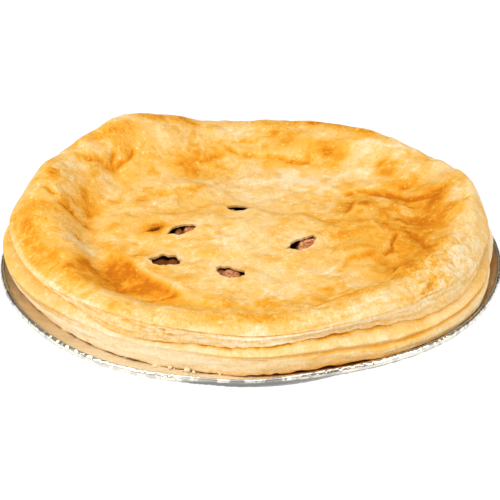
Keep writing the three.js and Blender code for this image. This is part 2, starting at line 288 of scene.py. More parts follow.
# Openings between those leaves: angle, share of the way up, depth, half length in degrees and half height
SIDE_PITS = [
    (227.5, 0.72, 0.8, 1.3, 0.07),
    (231.5, 0.60, 0.7, 0.8, 0.06),
    (239.5, 0.76, 0.9, 0.8, 0.08),
    (243.0, 0.62, 0.9, 1.6, 0.07),
    (246.6, 0.58, 0.8, 0.9, 0.06),
    (249.0, 0.70, 1.0, 0.8, 0.08),
    (250.8, 0.52, 0.8, 0.9, 0.06),
    (236.0, 0.42, 0.6, 1.2, 0.05),
    (255.0, 0.62, 0.6, 1.0, 0.05),
]

# The slits: x, y, length, width and turn
SLITS = [
    (-46, -9.8, 8, 2.8, 22),
    (-32.6, -11, 15.5, 8.5, 27),
    (-5, 13.2, 12, 7, -8),
    (24.8, -25.2, 17.5, 8.8, 45),
    (-8.9, -52.2, 15.8, 9.5, -38),
    (-39.6, -39.4, 15, 11, 8),
]

# The slits' lips: their thickness, how far the cut reaches under the skin, and how far the plugs that cut
# them go down and up from the skin
SLIT_LIP = 1.2
SLIT_UNDERCUT = 3.5
PLUG_DEPTH = 8.0
PLUG_RISE = 5.0

# The filling: air under the lid, and chunks of meat as x, y, height, half length, half width, turn and how
# pink they are
AIR_LEAST = 0.4
AIR_DEPTH = 5.0
AIR_INNER_RADIUS = 58.0
AIR_OUTER_RADIUS = 76.0
FILLING_RADIUS = 84.0
CHUNKS = [
    (-28.0, -6.0, 5.8, 4.6, 9.0, 8, 1.0),
    (-34.6, -7.5, 4.6, 2.4, 7.0, 0, 0.35),
    (-9.6, 14.2, 6.6, 2.8, 4.0, 0, 0.5),
    (28.6, -19.8, 6.6, 6.6, 11.0, -4, 1.0),
    (-8.4, -49.4, 6.2, 4.4, 8.0, 0, 0.85),
    (-14.2, -48.6, 5.8, 2.8, 7.0, 0, 0.42),
    (-34.5, -36.5, 4.4, 4.5, 6.0, 20, 0.08),
    (-43.0, -37.0, 4.2, 5.5, 7.0, 0, 0.02),
    (-46.0, -8.0, 4.6, 5.0, 4.0, 20, 0.4),
]

# Browning of the lid: x, y, how much browner or paler, half length, half width and turn
BROWNING = [
    (-65, -45, 0.50, 14, 7, -36),
    (-80, -40, 0.08, 10, 6, -40),
    (-40, -66, 0.16, 13, 5, -46),
    (-37, -75, 0.14, 8, 5, -30),
    (0, -81, 0.22, 11, 4, -15),
    (-11, -78, -0.12, 4, 4, 0),
    (-68, -62, 0.16, 11, 6, -42),
    (-70, -50, 0.06, 6, 6, -40),
    (-66, -76, 0.14, 7, 5, -42),
    (-81, 20, 0.26, 16, 6, -88),
    (-66, 52, 0.08, 8, 8, 0),
    (-88, 29, -0.19, 9, 5, -60),
    (-98, 27, 0.16, 6, 4, -60),
    (-91, 11, -0.34, 5, 5, 0),
    (-77, -30, -0.40, 9, 5, -45),
    (-58, -37, 0.24, 6, 5, -36),
    (-88, -46, 0.28, 16, 5, -48),
    (-106, -12, 0.30, 22, 6, -70),
    (-97, -2, 0.13, 16, 6, 85),
    (-26, 72, 0.42, 13, 5, 32),
    (-22, 58, 0.30, 8, 6, 10),
    (-38, 61, -0.01, 8, 5, 0),
    (-41, 78, -0.22, 8, 6, 0),
    (-8, 90, -0.22, 10, 5, 0),
    (-15, 43, -0.22, 14, 5, -30),
    (34, 79, 0.20, 5, 5, 0),
    (40, 85, -0.14, 4, 6, 0),
    (-12, 78, 0.05, 6, 4, 0),
    (-42, 95, 0.34, 8, 8, 0),
    (-60, 87, 0.16, 14, 7, 35),
    (-76, 69, 0.48, 8, 5, 40),
    (-60, 70, 0.18, 6, 6, 0),
    (-61, 57, 0.14, 7, 5, 30),
    (-94, 60, 0.12, 14, 5, 55),
    (-62, 36, 0.14, 20, 4, -90),
    (47, 71, 0.44, 9, 6, -25),
    (36, 69, 0.12, 10, 4, 0),
    (67, 38, -0.14, 7, 4, 0),
    (101, 4, -0.22, 5, 6, 0),
    (82, -44, 0.14, 8, 6, 60),
    (86, -60, -0.10, 6, 8, 40),
    (66, 66, -0.14, 8, 4, 0),
    (90, 50, -0.12, 6, 6, 0),
    (47, 59, 0.12, 5, 8, 0),
    (6, 80, 0.22, 8, 6, 0),
    (18, 88, 0.20, 10, 6, -40),
    (24, 103, 0.34, 20, 6, 0),
    (50, 94, 0.38, 16, 5, -35),
    (64, 31, 0.13, 12, 5, 10),
    (51, 29, -0.12, 8, 5, 0),
    (77, 46, 0.20, 4, 7, 0),
    (91, 28, -0.20, 5, 5, 10),
    (100, 62, 0.12, 6, 4, 0),
    (97, 18, 0.26, 8, 3, 55),
    (79, 34, 0.16, 10, 4, 10),
    (70, 26, 0.14, 8, 3, -10),
    (95, -4, 0.26, 5, 6, 0),
    (92, 6, 0.15, 9, 5, -70),
    (50, 16, 0.14, 16, 4, 62),
    (70, -6, 0.18, 26, 17, -78),
    (85, -2, 0.32, 16, 7, -84),
    (79, -22, 0.26, 11, 7, -70),
    (77, -56, 0.27, 13, 6, 55),
    (67, -46, 0.29, 10, 6, 60),
    (44, -80, 0.36, 14, 4.5, 33),
    (1, -96, 0.44, 19, 5, 0),
    (-24, -93, -0.10, 8, 4, 0),
    (24, -100, -0.14, 16, 5, 10),
    (-16, -103, -0.18, 14, 4, 0),
    (-38, -86, 0.12, 10, 7, -20),
    (103, -32, 0.10, 8, 5, 70),
    (69, 6, -0.26, 9, 5, 0),
    (60, 11, 0.20, 14, 3.5, -8),
    (61, -6, 0.19, 10, 4, -75),
    (36, -36, 0.12, 9, 4, 20),
    (-2, -34, -0.08, 6, 12, 0),
    (38, -16, 0.18, 8, 6, 0),
    (49, -13, 0.22, 6, 5, 0),
    (45, -37, 0.12, 12, 4, 30),
    (53, -50, 0.11, 6, 5, 0),
    (-18, 95, 0.15, 10, 6, 0),
    (30, 6, 0.14, 10, 3, -42),
    (24, 26, 0.04, 7, 6, 0),
    (17, -10, 0.16, 6, 4, 60),
    (-16, -35, 0.28, 8, 2.6, -10),
    # Painted shade along the back edge of the dome
    (-21, 7, 0.13, 9, 3, 0),
    (-65, -28, 0.32, 9, 4, -40),
    (-51, -7, 0.18, 10, 7, 0),
    (-28, -22, 0.25, 8, 5, 0),
    (-34, -58, 0.18, 6, 5, 0),
    (-42, -57, -0.12, 5, 6, -50),
    (-47, -66, 0.24, 4, 5, 0),
    (-86, -60, 0.14, 8, 5, -45),
    (60, -2, 0.10, 8, 6, 0),
    (97, 20, 0.12, 8, 6, 55),
    (-97, 18, 0.30, 6, 4, -60),
    (-102, -14, 0.12, 6, 6, 0),
    (-80, 18, 0.07, 4, 12, 0),
    (-44, -50, 0.06, 9, 6, -50),
    (-45.5, -9.5, 0.50, 5.2, 2.7, 22),
    (108, -6, 0.06, 14, 5, 80),
    (58, 66, -0.27, 12, 9, 20),
    (56, -84, -0.05, 20, 6, 36),
    (88, -62, -0.06, 10, 8, 45),
    (-76, 54, -0.18, 9, 7, 0),
    (-97, 46, -0.18, 5, 5, 0),
    (-72, 25, -0.12, 5, 8, 0),
    (-70, 80, -0.34, 9, 4, 40),
    (28, 50, -0.24, 20, 12, 0),
    (8, -20, -0.14, 30, 24, 0),
    (30, -62, -0.10, 14, 8, 30),
    (-35, -28, -0.10, 9, 5, 20),
    (-5, 93, -0.26, 8, 7, 0),
    (-52, 92, -0.10, 12, 8, 30),
    (60, -82, -0.06, 18, 6, 36),
    (106, 24, -0.08, 12, 6, 80),
    (100, -22, -0.12, 14, 6, 80),
    (100, -46, -0.24, 16, 5, 60),
    (86, -76, -0.14, 14, 5, 45),
    (71, -31, -0.12, 9, 5, 0),
    (30, -53, -0.10, 14, 5, 0),
    (10, 56, -0.14, 12, 8, 0),
    (-3, 27, -0.14, 14, 8, 0),
]

# A squarish browned patch of the lid: x, y, how much browner, half length, half width and turn
SQUARE_PATCH = (70, 53, 0.42, 6.0, 7.0, -24)

# Crumbs on the flange and by the foot of the case: x, y and size
CRUMBS = [
    (-41.5, -101.6, 1.7),
    (-35.0, -102.5, 1.9),
    (-33.2, -103.6, 0.9),
    (-27.5, -105.4, 2.6),
    (-29.6, -106.3, 1.2),
    (-24.6, -107.2, 1.4),
    (-13.2, -108.3, 1.0),
    (-55.2, -93.5, 0.8),
    (88.0, -74.5, 1.1),
    (107.0, -45.0, 0.9),
    (-99.0, 62.0, 1.2),
    (40.0, 112.0, 1.4),
]

# How finely each piece is divided, round the pie and the other way
LID_COLUMNS = 620
LID_SIDE_ROWS = 23
LID_ROLL_ROWS = 30
LID_TOP_ROWS = 90
SLIT_COLUMNS = 48
CASE_COLUMNS = 620
CASE_FACE_ROWS = 16
CASE_SHOULDER_ROWS = 20
TIN_COLUMNS = 1440
BEAD_ROWS = 17
FILLING_COLUMNS = 400
FILLING_ROWS = 100
CRUMB_COLUMNS = 12
CRUMB_ROWS = 9

# Colours of the crust from cream to deep brown, and of the meat along its grain: place and colour
CRUST_COLOURS = [
    (0.0, (0.88, 0.745, 0.51)),
    (0.18, (0.875, 0.645, 0.345)),
    (0.35, (0.855, 0.55, 0.205)),
    (0.5, (0.835, 0.472, 0.118)),
    (0.64, (0.81, 0.40, 0.054)),
    (0.76, (0.775, 0.33, 0.026)),
    (0.88, (0.71, 0.255, 0.013)),
    (1.0, (0.56, 0.165, 0.007)),
]
MEAT_COLOURS = [(0.36, (0.24, 0.06, 0.012)), (0.5, (0.58, 0.21, 0.075)), (0.64, (0.84, 0.43, 0.24))]

# Colours of the gravy, alone and soaked into the crust with painted shade, and of the foil and its marks,
# some of which are painted shade and painted reflection
GRAVY_COLOUR = (0.14, 0.036, 0.004, 1.0)
# Gravy soaked into the crust, with painted shade, darker down the slits' walls
SOAKED_AND_SHADED_COLOUR = (0.28, 0.085, 0.012, 1.0)
FOIL_COLOUR = (0.99, 0.935, 0.80, 1.0)
# Painted shade: the grey laid on the foil's underside and on the lower side of the bead
UNDERSIDE_SHADE_COLOUR = (0.24, 0.235, 0.22, 1.0)
# Painted reflection: the tan of the golden pastry mirrored in the flange
PASTRY_REFLECTION_COLOUR = (0.75, 0.60, 0.39, 1.0)
# Painted shade in the bead's crimps, and painted dark reflections on it
CRIMP_SHADE_COLOUR = (0.26, 0.255, 0.24, 1.0)
STREAK_COLOUR = (0.86, 0.83, 0.78, 1.0)
# Grease with painted shade: dark brown on the flange by the foot of the case
GREASE_AND_SHADE_COLOUR = (0.50, 0.24, 0.06, 1.0)

# The floor's side in mm, the point in metres that the lights are turned to, and the camera: its height above
# the horizon, its distance from a point over the middle of the tin's base in metres, its roll and its lens
FLOOR_SIZE = 6000.0
LIGHT_AIM = (0.0, 0.0, 0.03)
ELEVATION = math.radians(28.2)
DISTANCE = 0.75
AIM_HEIGHT = 0.024
ROLL = math.radians(-0.3)
FOCAL_PIXELS = 1521.0
FRAME_PIXELS = 500.0
SENSOR_WIDTH = 36.0


def bell(distance, spread):
    """One at no distance, falling away as a normal curve does."""
    return np.exp(-0.5 * (distance / spread) ** 2)


def ease(value, low, high):
    """Zero below low, one above high, and a smooth S between them."""
    share = np.clip((value - low) / (high - low), 0.0, 1.0)
    return share * share * (3.0 - 2.0 * share)


def blend(first, second, share):
    """The first value at a share of zero and the second at one."""
    return first + (second - first) * share


def turn_from(angle, middle):
    """The shortest way round the pie from a middle to an angle, in degrees."""
    return (angle - middle + 180.0) % 360.0 - 180.0


def beside(angle, middle, spread):
    """A bell of the shortest way round the pie from a middle."""
    return bell(turn_from(angle, middle), spread)


def around(line, angle):
    """A line's value at each angle: its mean with every swell's bell added."""
    mean, swells = line
    return mean + sum(size * beside(angle, middle, spread) for middle, size, spread in swells)


def steps(angle, count):
    """An angle in steps, of which that many go once round the pie."""
    return angle * count / 360.0


def along_across(x, y, turn):
    """Distances along and across a line through the origin at that turn."""
    cosine = math.cos(math.radians(turn))
    sine = math.sin(math.radians(turn))
    return x * cosine + y * sine, y * cosine - x * sine


def oval(mound, x, y):
    """An elongated bell: along and across are measured from its middle on axes turned by its turn."""
    middle_x, middle_y, height, length, width, turn = mound
    along, across = along_across(x - middle_x, y - middle_y, turn)
    return height * bell(along, length) * bell(across, width)


def ovals(mounds, x, y):
    """Several elongated bells added up."""
    return sum(oval(mound, x, y) for mound in mounds)


def flat_bell(mound, x, y):
    """As an elongated bell, but flat on top with steep sides: the fourth power in place of the square."""
    middle_x, middle_y, height, length, width, turn = mound
    along, across = along_across(x - middle_x, y - middle_y, turn)
    return height * np.exp(-((along / length) ** 4) - (across / width) ** 4)


def lattice(across, along, seed):
    """Smooth random values from -1 to 1: seeded values at whole numbers, eased from each to the next. The
    pattern repeats every 64 steps."""
    table = np.random.default_rng(seed).uniform(-1.0, 1.0, (64, 64))
    column = np.floor(across).astype(int)
    row = np.floor(along).astype(int)
    ease_x = ease(across - column, 0.0, 1.0)
    ease_y = ease(along - row, 0.0, 1.0)
    near = blend(table[column % 64, row % 64], table[(column + 1) % 64, row % 64], ease_x)
    far = blend(table[column % 64, (row + 1) % 64], table[(column + 1) % 64, (row + 1) % 64], ease_x)
    return blend(near, far, ease_y)


def rough(across, along, seed, octaves=3):
    """Lattices added up, each twice as fine and half as strong as the one before."""
    total = np.zeros(np.broadcast(across, along).shape)
    for octave in range(octaves):
        total = total + lattice(across * 2**octave, along * 2**octave, seed + octave) / 2**octave
    return total


def angle_of(x, y):
    """Degrees from +X towards +Y."""
    return np.degrees(np.arctan2(y, x)) % 360.0


def flange_share(radius):
    """How far out along the flange a distance from the axis is, from 0 to 1 at the rim's outside."""
    return np.clip((radius - FLANGE_INNER_RADIUS) / (RIM_RADIUS - FLANGE_INNER_RADIUS), 0.0, 1.0)


def tin_top(angle, radius):
    """The tin's upper face: level at the base, straight up the wall, and straight along the flange."""
    wall_share = np.clip((radius - BASE_RADIUS) / (FLANGE_INNER_RADIUS - BASE_RADIUS), 0.0, 1.0)
    wall = blend(FOIL_THICKNESS, FLANGE_INNER_HEIGHT, wall_share)
    flange = np.maximum(radius - FLANGE_INNER_RADIUS, 0.0) / (FLANGE_END - FLANGE_INNER_RADIUS)
    flange_rise = RIM_HEIGHT - FLANGE_DROP - FLANGE_INNER_HEIGHT
    return wall + flange * (flange_rise + around(RIM_BEND, angle))


def bead_level(angle):
    """Height of the middle of the rolled bead."""
    return RIM_HEIGHT - BEAD_DROP + around(RIM_BEND, angle)


def foot_height(angle):
    """Where the case's cut face starts, just over the flange."""
    return tin_top(angle, around(FOOT_RADIUS, angle)) + FOOT_CLEARANCE + around(FOOT_LIFT, angle)


def crevice_radius(angle):
    """Where the lid and the case meet at the outside."""
    return around(FOOT_RADIUS, angle) - around(CREVICE_INSET, angle)


def seam_level(angle):
    """Height of the line where the lid meets the case: the crevice's height, made ragged by noise."""
    return around(CREVICE_HEIGHT, angle) + SEAM_RAGGED * rough(steps(angle, 128), 0.0, 211)


def lid_share(x, y):
    """Distance from the axis as a share of that of the lid's edge."""
    return np.hypot(x, y) / around(EDGE_RADIUS, angle_of(x, y))


def lid_form(x, y):
    """The lid's main form: from the edge up to a crest as a quarter of a cosine, down an S to a trough, or
    where it is fuller by a curve that stays high for longer, and by another S to the middle, with the swells
    and hollows added inside the crest."""
    angle = angle_of(x, y)
    share = lid_share(x, y)
    crest = around(CREST_HEIGHT, angle)
    crest_share = around(CREST_SHARE, angle)
    trough = around(TROUGH_HEIGHT, angle)
    trough_share = around(TROUGH_SHARE, angle)
    outward = np.clip((share - crest_share) / (1.0 - crest_share), 0.0, 1.0)
    roll = blend(around(EDGE_HEIGHT, angle), crest, np.cos(outward * np.pi / 2.0))
    inward = np.clip((share - trough_share) / (crest_share - trough_share), 0.0, 1.0)
    full = 1.0 - (1.0 - inward) ** 2.5
    slope = blend(trough, crest, blend(ease(inward, 0.0, 1.0), full, around(FULLNESS, angle)))
    middle = blend(MIDDLE_HEIGHT, trough, ease(share, MIDDLE_SHARE * trough_share, trough_share))
    height = np.where(share > crest_share, roll, np.where(share > trough_share, slope, middle))
    fade = 1.0 - ease(share, crest_share, 1.0)
    return height + fade * ovals(LID_RELIEF, x, y)


def fold_line(points, x, y):
    """How far a place is within a fold's ends, from 0 to 1, and its distance to the left of the fold's line:
    that from the nearest of the straight steps between the points."""
    ends = np.array(points, float)
    strides = np.diff(ends, axis=0)
    lengths = np.hypot(strides[:, 0], strides[:, 1])
    starts = np.concatenate([[0.0], np.cumsum(lengths)])
    nearest = np.full(np.shape(x), np.inf)
    across = np.zeros(np.shape(x))
    along = np.zeros(np.shape(x))
    for (start_x, start_y), (step_x, step_y), length, start in zip(ends, strides, lengths, starts):
        share = np.clip(((x - start_x) * step_x + (y - start_y) * step_y) / length**2, 0.0, 1.0)
        distance = np.hypot(x - start_x - share * step_x, y - start_y - share * step_y)
        left = np.where((y - start_y) * step_x > (x - start_x) * step_y, distance, -distance)
        closer = distance < nearest
        across = np.where(closer, left, across)
        along = np.where(closer, start + share * length, along)
        nearest = np.minimum(nearest, distance)
    along = along / starts[-1]
    return ease(along, -0.03, 0.2) * (1.0 - ease(along, 0.8, 1.03)), across


def shaken(x, y):
    """The points moved a little, so that the folds' lines waver."""
    return x + 0.9 * rough(x / 8.0, y / 8.0, 11), y + 0.9 * rough(x / 8.0, y / 8.0, 17)


def creases(x, y):
    """All the folds' heights: the skin sinks by a bell of the distance from each line, and on its left stands
    up by an S and fades with it."""
    shaken_x, shaken_y = shaken(x, y)
    total = np.zeros(np.shape(x))
    for width, depth, lift, points in LID_FOLDS:
        taper, across = fold_line(points, shaken_x, shaken_y)
        step = lift * ease(across, -width, width) * np.exp(-np.maximum(across, 0.0) / (7.0 * width))
        total = total + taper * (step - depth * bell(across, width))
    return total


def fold_bake_shade_and_highlight(x, y):
    """How much browner the folds are, with painted light: a painted shadow along the crease, browning and
    painted shade on its low side, and a painted highlight on the raised edge.
    """
    shaken_x, shaken_y = shaken(x, y)
    total = np.zeros(np.shape(x))
    for width, depth, lift, points in LID_FOLDS:
        taper, across = fold_line(points, shaken_x, shaken_y)
        low = (1.0 - ease(across, -0.6 * width, 0.6 * width)) * np.exp(np.minimum(across, 0.0) / 7.0)
        raised = bell(across - 1.6 * width, width) * min(1.0, 1.5 / width)
        line = 0.24 * depth * bell(across, 0.7 * width)
        total = total + taper * (line + lift * (0.06 * low - 0.05 * raised))
    return total


def bubbles(x, y, seed, count, heights, spreads):
    """Rounded bubbles of the puffed skin, bells scattered evenly over the disc from a seed."""
    draw = np.random.default_rng(seed)
    radius = BUBBLE_REACH * np.sqrt(draw.uniform(0.0, 1.0, count))
    turn = draw.uniform(0.0, 2.0 * np.pi, count)
    height = draw.uniform(*heights, count)
    spread = draw.uniform(*spreads, count)
    return sum(
        tall * bell(np.hypot(x - far * np.cos(way), y - far * np.sin(way)), wide)
        for far, way, tall, wide in zip(radius, turn, height, spread)
    )


def blisters(x, y):
    """Small bubbles, which bake browner."""
    return bubbles(x, y, 5, 320, (0.15, 0.6), (1.1, 3.0))


def torn(x, y):
    """Pits torn in the skin: an elongated bell in distance round the pie and out from the axis."""
    angle = angle_of(x, y)
    radius = np.hypot(x, y)
    return -sum(
        depth * bell(np.radians(turn_from(angle, middle)) * far, length) * bell(radius - far, width)
        for middle, far, depth, length, width in TORN_PITS
    )


def slit_distance(x, y):
    """Distance outwards from the nearest slit's outline, an oval with pinched ends: from the powers of the
    shares of its half length and half width."""
    nearest = np.full(np.shape(x), np.inf)
    for middle_x, middle_y, length, width, turn in SLITS:
        along, across = along_across(x - middle_x, y - middle_y, turn)
        long_share = np.abs(along) / (0.5 * length)
        wide_share = np.abs(across) / (0.5 * width)
        outside = np.sqrt(long_share**2 + wide_share ** (4.0 / 3.0)) - 1.0
        nearest = np.minimum(nearest, outside * 0.5 * width)
    return nearest


def lid_skin(x, y):
    """The lid's upper face: its main form with folds, blisters, pits, raised lips round the slits and two
    sizes of unevenness, which fade out at the edge."""
    angle = angle_of(x, y)
    share = lid_share(x, y)
    keep = 1.0 - ease(share, 0.975, 1.0)
    uneven = 0.7 * rough(x / 13.0, y / 13.0, 23) + 0.2 * rough(x / 4.6, y / 4.6, 29, 2)
    wrinkle = 0.16 * rough(steps(angle, 64), share * 60.0, 31) * ease(share, 0.7, 0.9)
    puffs = bubbles(x, y, 9, 70, (0.3, 1.1), (3.5, 7.0)) - 0.45
    lips = 0.3 * bell(slit_distance(x, y), 1.8)
    flakes = 0.5 * oval(TORN_FLAKES, x, y) * rough(x / 3.0, y / 3.0, 151, 2)
    relief = creases(x, y) + blisters(x, y) + torn(x, y) + lips + flakes + puffs + uneven + wrinkle
    return lid_form(x, y) + keep * relief


def lid_under(x, y):
    """The lid's lower face: its main form less the thickness, eased to the crevice's level at the edge."""
    angle = angle_of(x, y)
    share = np.hypot(x, y) / crevice_radius(angle)
    thickness = blend(LID_MIDDLE_THICKNESS, LID_THICKNESS, ease(share, 0.5, 0.8))
    sheet = lid_form(x, y) - thickness
    level = around(CREVICE_HEIGHT, angle) + CLEARANCE
    return np.minimum(blend(sheet, level, ease(share, 0.78, 0.93)), sheet)


def shell_mesh(name, shells):
    """Closed surfaces in one mesh. Each shell is rings[row, column] of points in mm: its columns run once
    round, and its first and last rows are single points."""
    points = []
    faces = []
    first = 0
    for rings in shells:
        rows, columns = rings.shape[:2]
        step = np.arange(columns)
        after = (step + 1) % columns
        ring = first + 1 + columns * np.arange(rows - 3)[:, None]
        bands = np.stack([ring + step, ring + after, ring + columns + after, ring + columns + step], -1)
        last = first + 1 + columns * (rows - 3)
        top = last + columns
        lower = np.stack([np.full(columns, first), first + 1 + after, first + 1 + step], -1)
        upper = np.stack([last + step, last + after, np.full(columns, top)], -1)
        faces += lower.tolist() + bands.reshape(-1, 4).tolist() + upper.tolist()
        points += [rings[0, :1], rings[1:-1].reshape(-1, 3), rings[-1, :1]]
        first = top + 1
    mesh = bpy.data.meshes.new(name)
    mesh.from_pydata(np.concatenate(points) * MM, [], faces)
    mesh.shade_smooth()
    return mesh


def place(name, mesh):
    """An object at the origin that shows the mesh."""
    piece = bpy.data.objects.new(name, mesh)
    scene.collection.objects.link(piece)
    return piece


def corners_of(mesh):
    """The mesh's points in mm, as x, y and z."""
    flat = np.empty(len(mesh.vertices) * 3)
    mesh.vertices.foreach_get("co", flat)
    return flat.reshape(-1, 3).T / MM


def dress(piece, finish, marks):
    """Gives a piece its finish, and its points each of the named values that the finish reads."""
    for name, values in marks.items():
        layer = piece.data.attributes.new(name, "FLOAT", "POINT")
        spread_out = np.broadcast_to(values, len(piece.data.vertices))
        layer.data.foreach_set("value", spread_out.astype(np.float32))
    piece.data.materials.clear()
    piece.data.materials.append(finish)


def round_angles(columns):
    """Evenly spaced angles once round the pie."""
    return 360.0 * np.arange(columns) / columns


def to_points(angle, radius, height):
    """Points at an angle, a distance from the axis and a height."""
    turn = np.radians(angle)
    return np.stack(np.broadcast_arrays(radius * np.cos(turn), radius * np.sin(turn), height), -1)


def at_polar(surface, angle, radius):
    """The height of a surface at an angle and a distance from the axis."""
    turn = np.radians(angle)
    return surface(radius * np.cos(turn), radius * np.sin(turn))


def level_rings(rings, columns):
    """Round, level rings, each given as a distance from the axis and a height, as rows of both."""
    return np.array(rings).T[:, :, None] + np.zeros(columns)


def side_lines(angle, rise):
    """Lines between the leaves of the lid's side, which sink and take painted shade, from 0 to 1: bells in
    the angle and in the share of the way up, with a wavering height."""
    waver = 0.06 * rough(steps(angle, 64), 0.0, 41)
    return sum(
        depth * beside(angle, middle, spread) * bell(rise - up - waver, SIDE_LINE_HEIGHT)
        for up, middle, spread, depth in SIDE_LINES
    )


def side_pits(angle, rise, longer=1.0, taller=1.0):
    """Openings in the lid's side, from 0 to 1: bells round the pie and up the side, as they are or larger."""
    return sum(
        depth * beside(angle, middle, longer * length) * bell(rise - up, taller * tall)
        for middle, up, depth, length, tall in SIDE_PITS
    )


def side_rims(angle, rise):
    """Pale rims round the openings, from 0 to 1: a wider bell than each opening's, less the opening."""
    return np.clip(side_pits(angle, rise, 1.7, 2.0) - side_pits(angle, rise), 0.0, 1.0)


def seam_browning_and_shade(angle):
    """How much browner the pastry is where lid and case meet, as browning and painted shade in the crevice: a
    broken line at the front, less elsewhere.
    """
    broken = ease(rough(steps(angle, 128), 0.0, 149), -0.4, 0.5)
    return around(SEAM_BAKE_AND_SHADE, angle) + (0.28 + 0.52 * broken) * beside(angle, 274.0, 30.0)


def lid_mesh():
    """The lid: rings from the middle of its lower face outwards, up its layered side, round its roll and in
    to the middle of its upper face."""
    angle = round_angles(LID_COLUMNS)[None, :]
    edge = around(EDGE_RADIUS, angle)
    crevice = crevice_radius(angle)
    under = np.array([0.0, 0.15, 0.35, 0.55, 0.7, *SEAT_SHARES[::-1]])[:, None] * crevice
    under_height = at_polar(lid_under, angle, under)
    rise = np.linspace(0.0, 1.0, LID_SIDE_ROWS)[:-1, None]
    leaves = 0.4 * side_rims(angle, rise) - 0.7 * side_lines(angle, rise) - 1.3 * side_pits(angle, rise)
    chips = 0.22 * rough(steps(angle, 128), rise * 5.0, 47)
    bulge = LID_EDGE_BULGE * 4.0 * rise * (1.0 - rise)
    calm = ease(rise, 0.0, 0.12)
    hollow = around(SIDE_HOLLOW, angle) * bell(rise - 0.3, 0.2)
    side = blend(crevice + LID_EDGE_RISE, edge, rise) + bulge + calm * (leaves + chips) - hollow
    side_height = blend(seam_level(angle) + LID_EDGE_RISE, around(EDGE_HEIGHT, angle), rise)
    roll_shares = np.linspace(1.0, LID_ROLL_SHARE, LID_ROLL_ROWS)
    inner_shares = np.linspace(LID_ROLL_SHARE, 0.0, LID_TOP_ROWS)[1:]
    top = np.concatenate([roll_shares, inner_shares])[:, None] * edge
    top_height = at_polar(lid_skin, angle, top)
    radius = np.concatenate([under, side, top])
    height = np.concatenate([under_height, side_height, top_height])
    return shell_mesh("pastry_lid", [to_points(angle, radius, height)])


def slit_shells():
    """Plugs with the slits' outlines, ovals with pinched ends, shaken a little. Below a thin lip, which
    follows the lid's skin, they widen, so that the cut slopes away under the skin."""
    turn_round = 2.0 * np.pi * np.arange(SLIT_COLUMNS) / SLIT_COLUMNS
    shells = []
    for number, (x, y, length, width, turn) in enumerate(SLITS):
        cosine = math.cos(math.radians(turn))
        sine = math.sin(math.radians(turn))
        shake = 1.0 + 0.16 * rough(turn_round * 64.0 / (2.0 * np.pi) / 4.0, 0.5, 53 + number)
        along = shake * 0.5 * length * np.cos(turn_round)
        across = shake * 0.5 * width * np.sin(turn_round) * np.abs(np.sin(turn_round)) ** 0.2
        reach = SLIT_UNDERCUT * min(1.0, (width / 6.0) ** 2)
        lip_x = x + along * cosine - across * sine
        lip_y = y + along * sine + across * cosine
        wide_along = along * (1.0 + 2.0 * reach / length)
        wide_across = across * (1.0 + 2.0 * reach / width)
        wide_x = x + wide_along * cosine - wide_across * sine
        wide_y = y + wide_along * sine + wide_across * cosine
        skin = lid_skin(lip_x, lip_y)
        middle = float(skin.mean())
        middle_x = np.full(SLIT_COLUMNS, x)
        middle_y = np.full(SLIT_COLUMNS, y)
        bottom = np.full(SLIT_COLUMNS, middle - PLUG_DEPTH)
        rings = [
            (middle_x, middle_y, bottom),
            (wide_x, wide_y, bottom),
            (wide_x, wide_y, skin - SLIT_LIP - 0.42 * reach),
            (lip_x, lip_y, skin - SLIT_LIP),
            (lip_x, lip_y, skin + PLUG_RISE),
            (middle_x, middle_y, np.full(SLIT_COLUMNS, middle + PLUG_RISE + 1.0)),
        ]
        shells.append(np.stack([np.stack(ring, -1) for ring in rings]))
    return shells


def cut_out(piece, cutter):
    """Takes the cutter out of the piece, keeps the result as the piece's own mesh and removes the cutter."""
    tool = piece.modifiers.new("slits", "BOOLEAN")
    tool.operation = "DIFFERENCE"
    tool.solver = "MANIFOLD"
    tool.object = cutter
    shown = piece.evaluated_get(bpy.context.evaluated_depsgraph_get())
    whole = piece.data
    piece.data = bpy.data.meshes.new_from_object(shown)
    piece.modifiers.clear()
    bpy.data.meshes.remove(whole)
    tool_mesh = cutter.data
    bpy.data.objects.remove(cutter)
    bpy.data.meshes.remove(tool_mesh)


def moved(x, y, size, reach, seed):
    """The points moved about by a seeded unevenness of that size and reach."""
    aside = reach * rough(x / size, y / size, seed)
    ahead = reach * rough(x / size, y / size, seed + 7)
    return x + aside, y + ahead


def veins(x, y):
    """Pale cracks: thin lines where a seeded unevenness passes through zero, in some places only."""
    line = bell(rough(x / 15.0, y / 15.0, 211), 0.07) + bell(rough(x / 8.0, y / 8.0, 223), 0.07)
    return np.minimum(line, 1.0) * ease(lattice(x / 21.0, y / 21.0, 227), -0.25, 0.4)


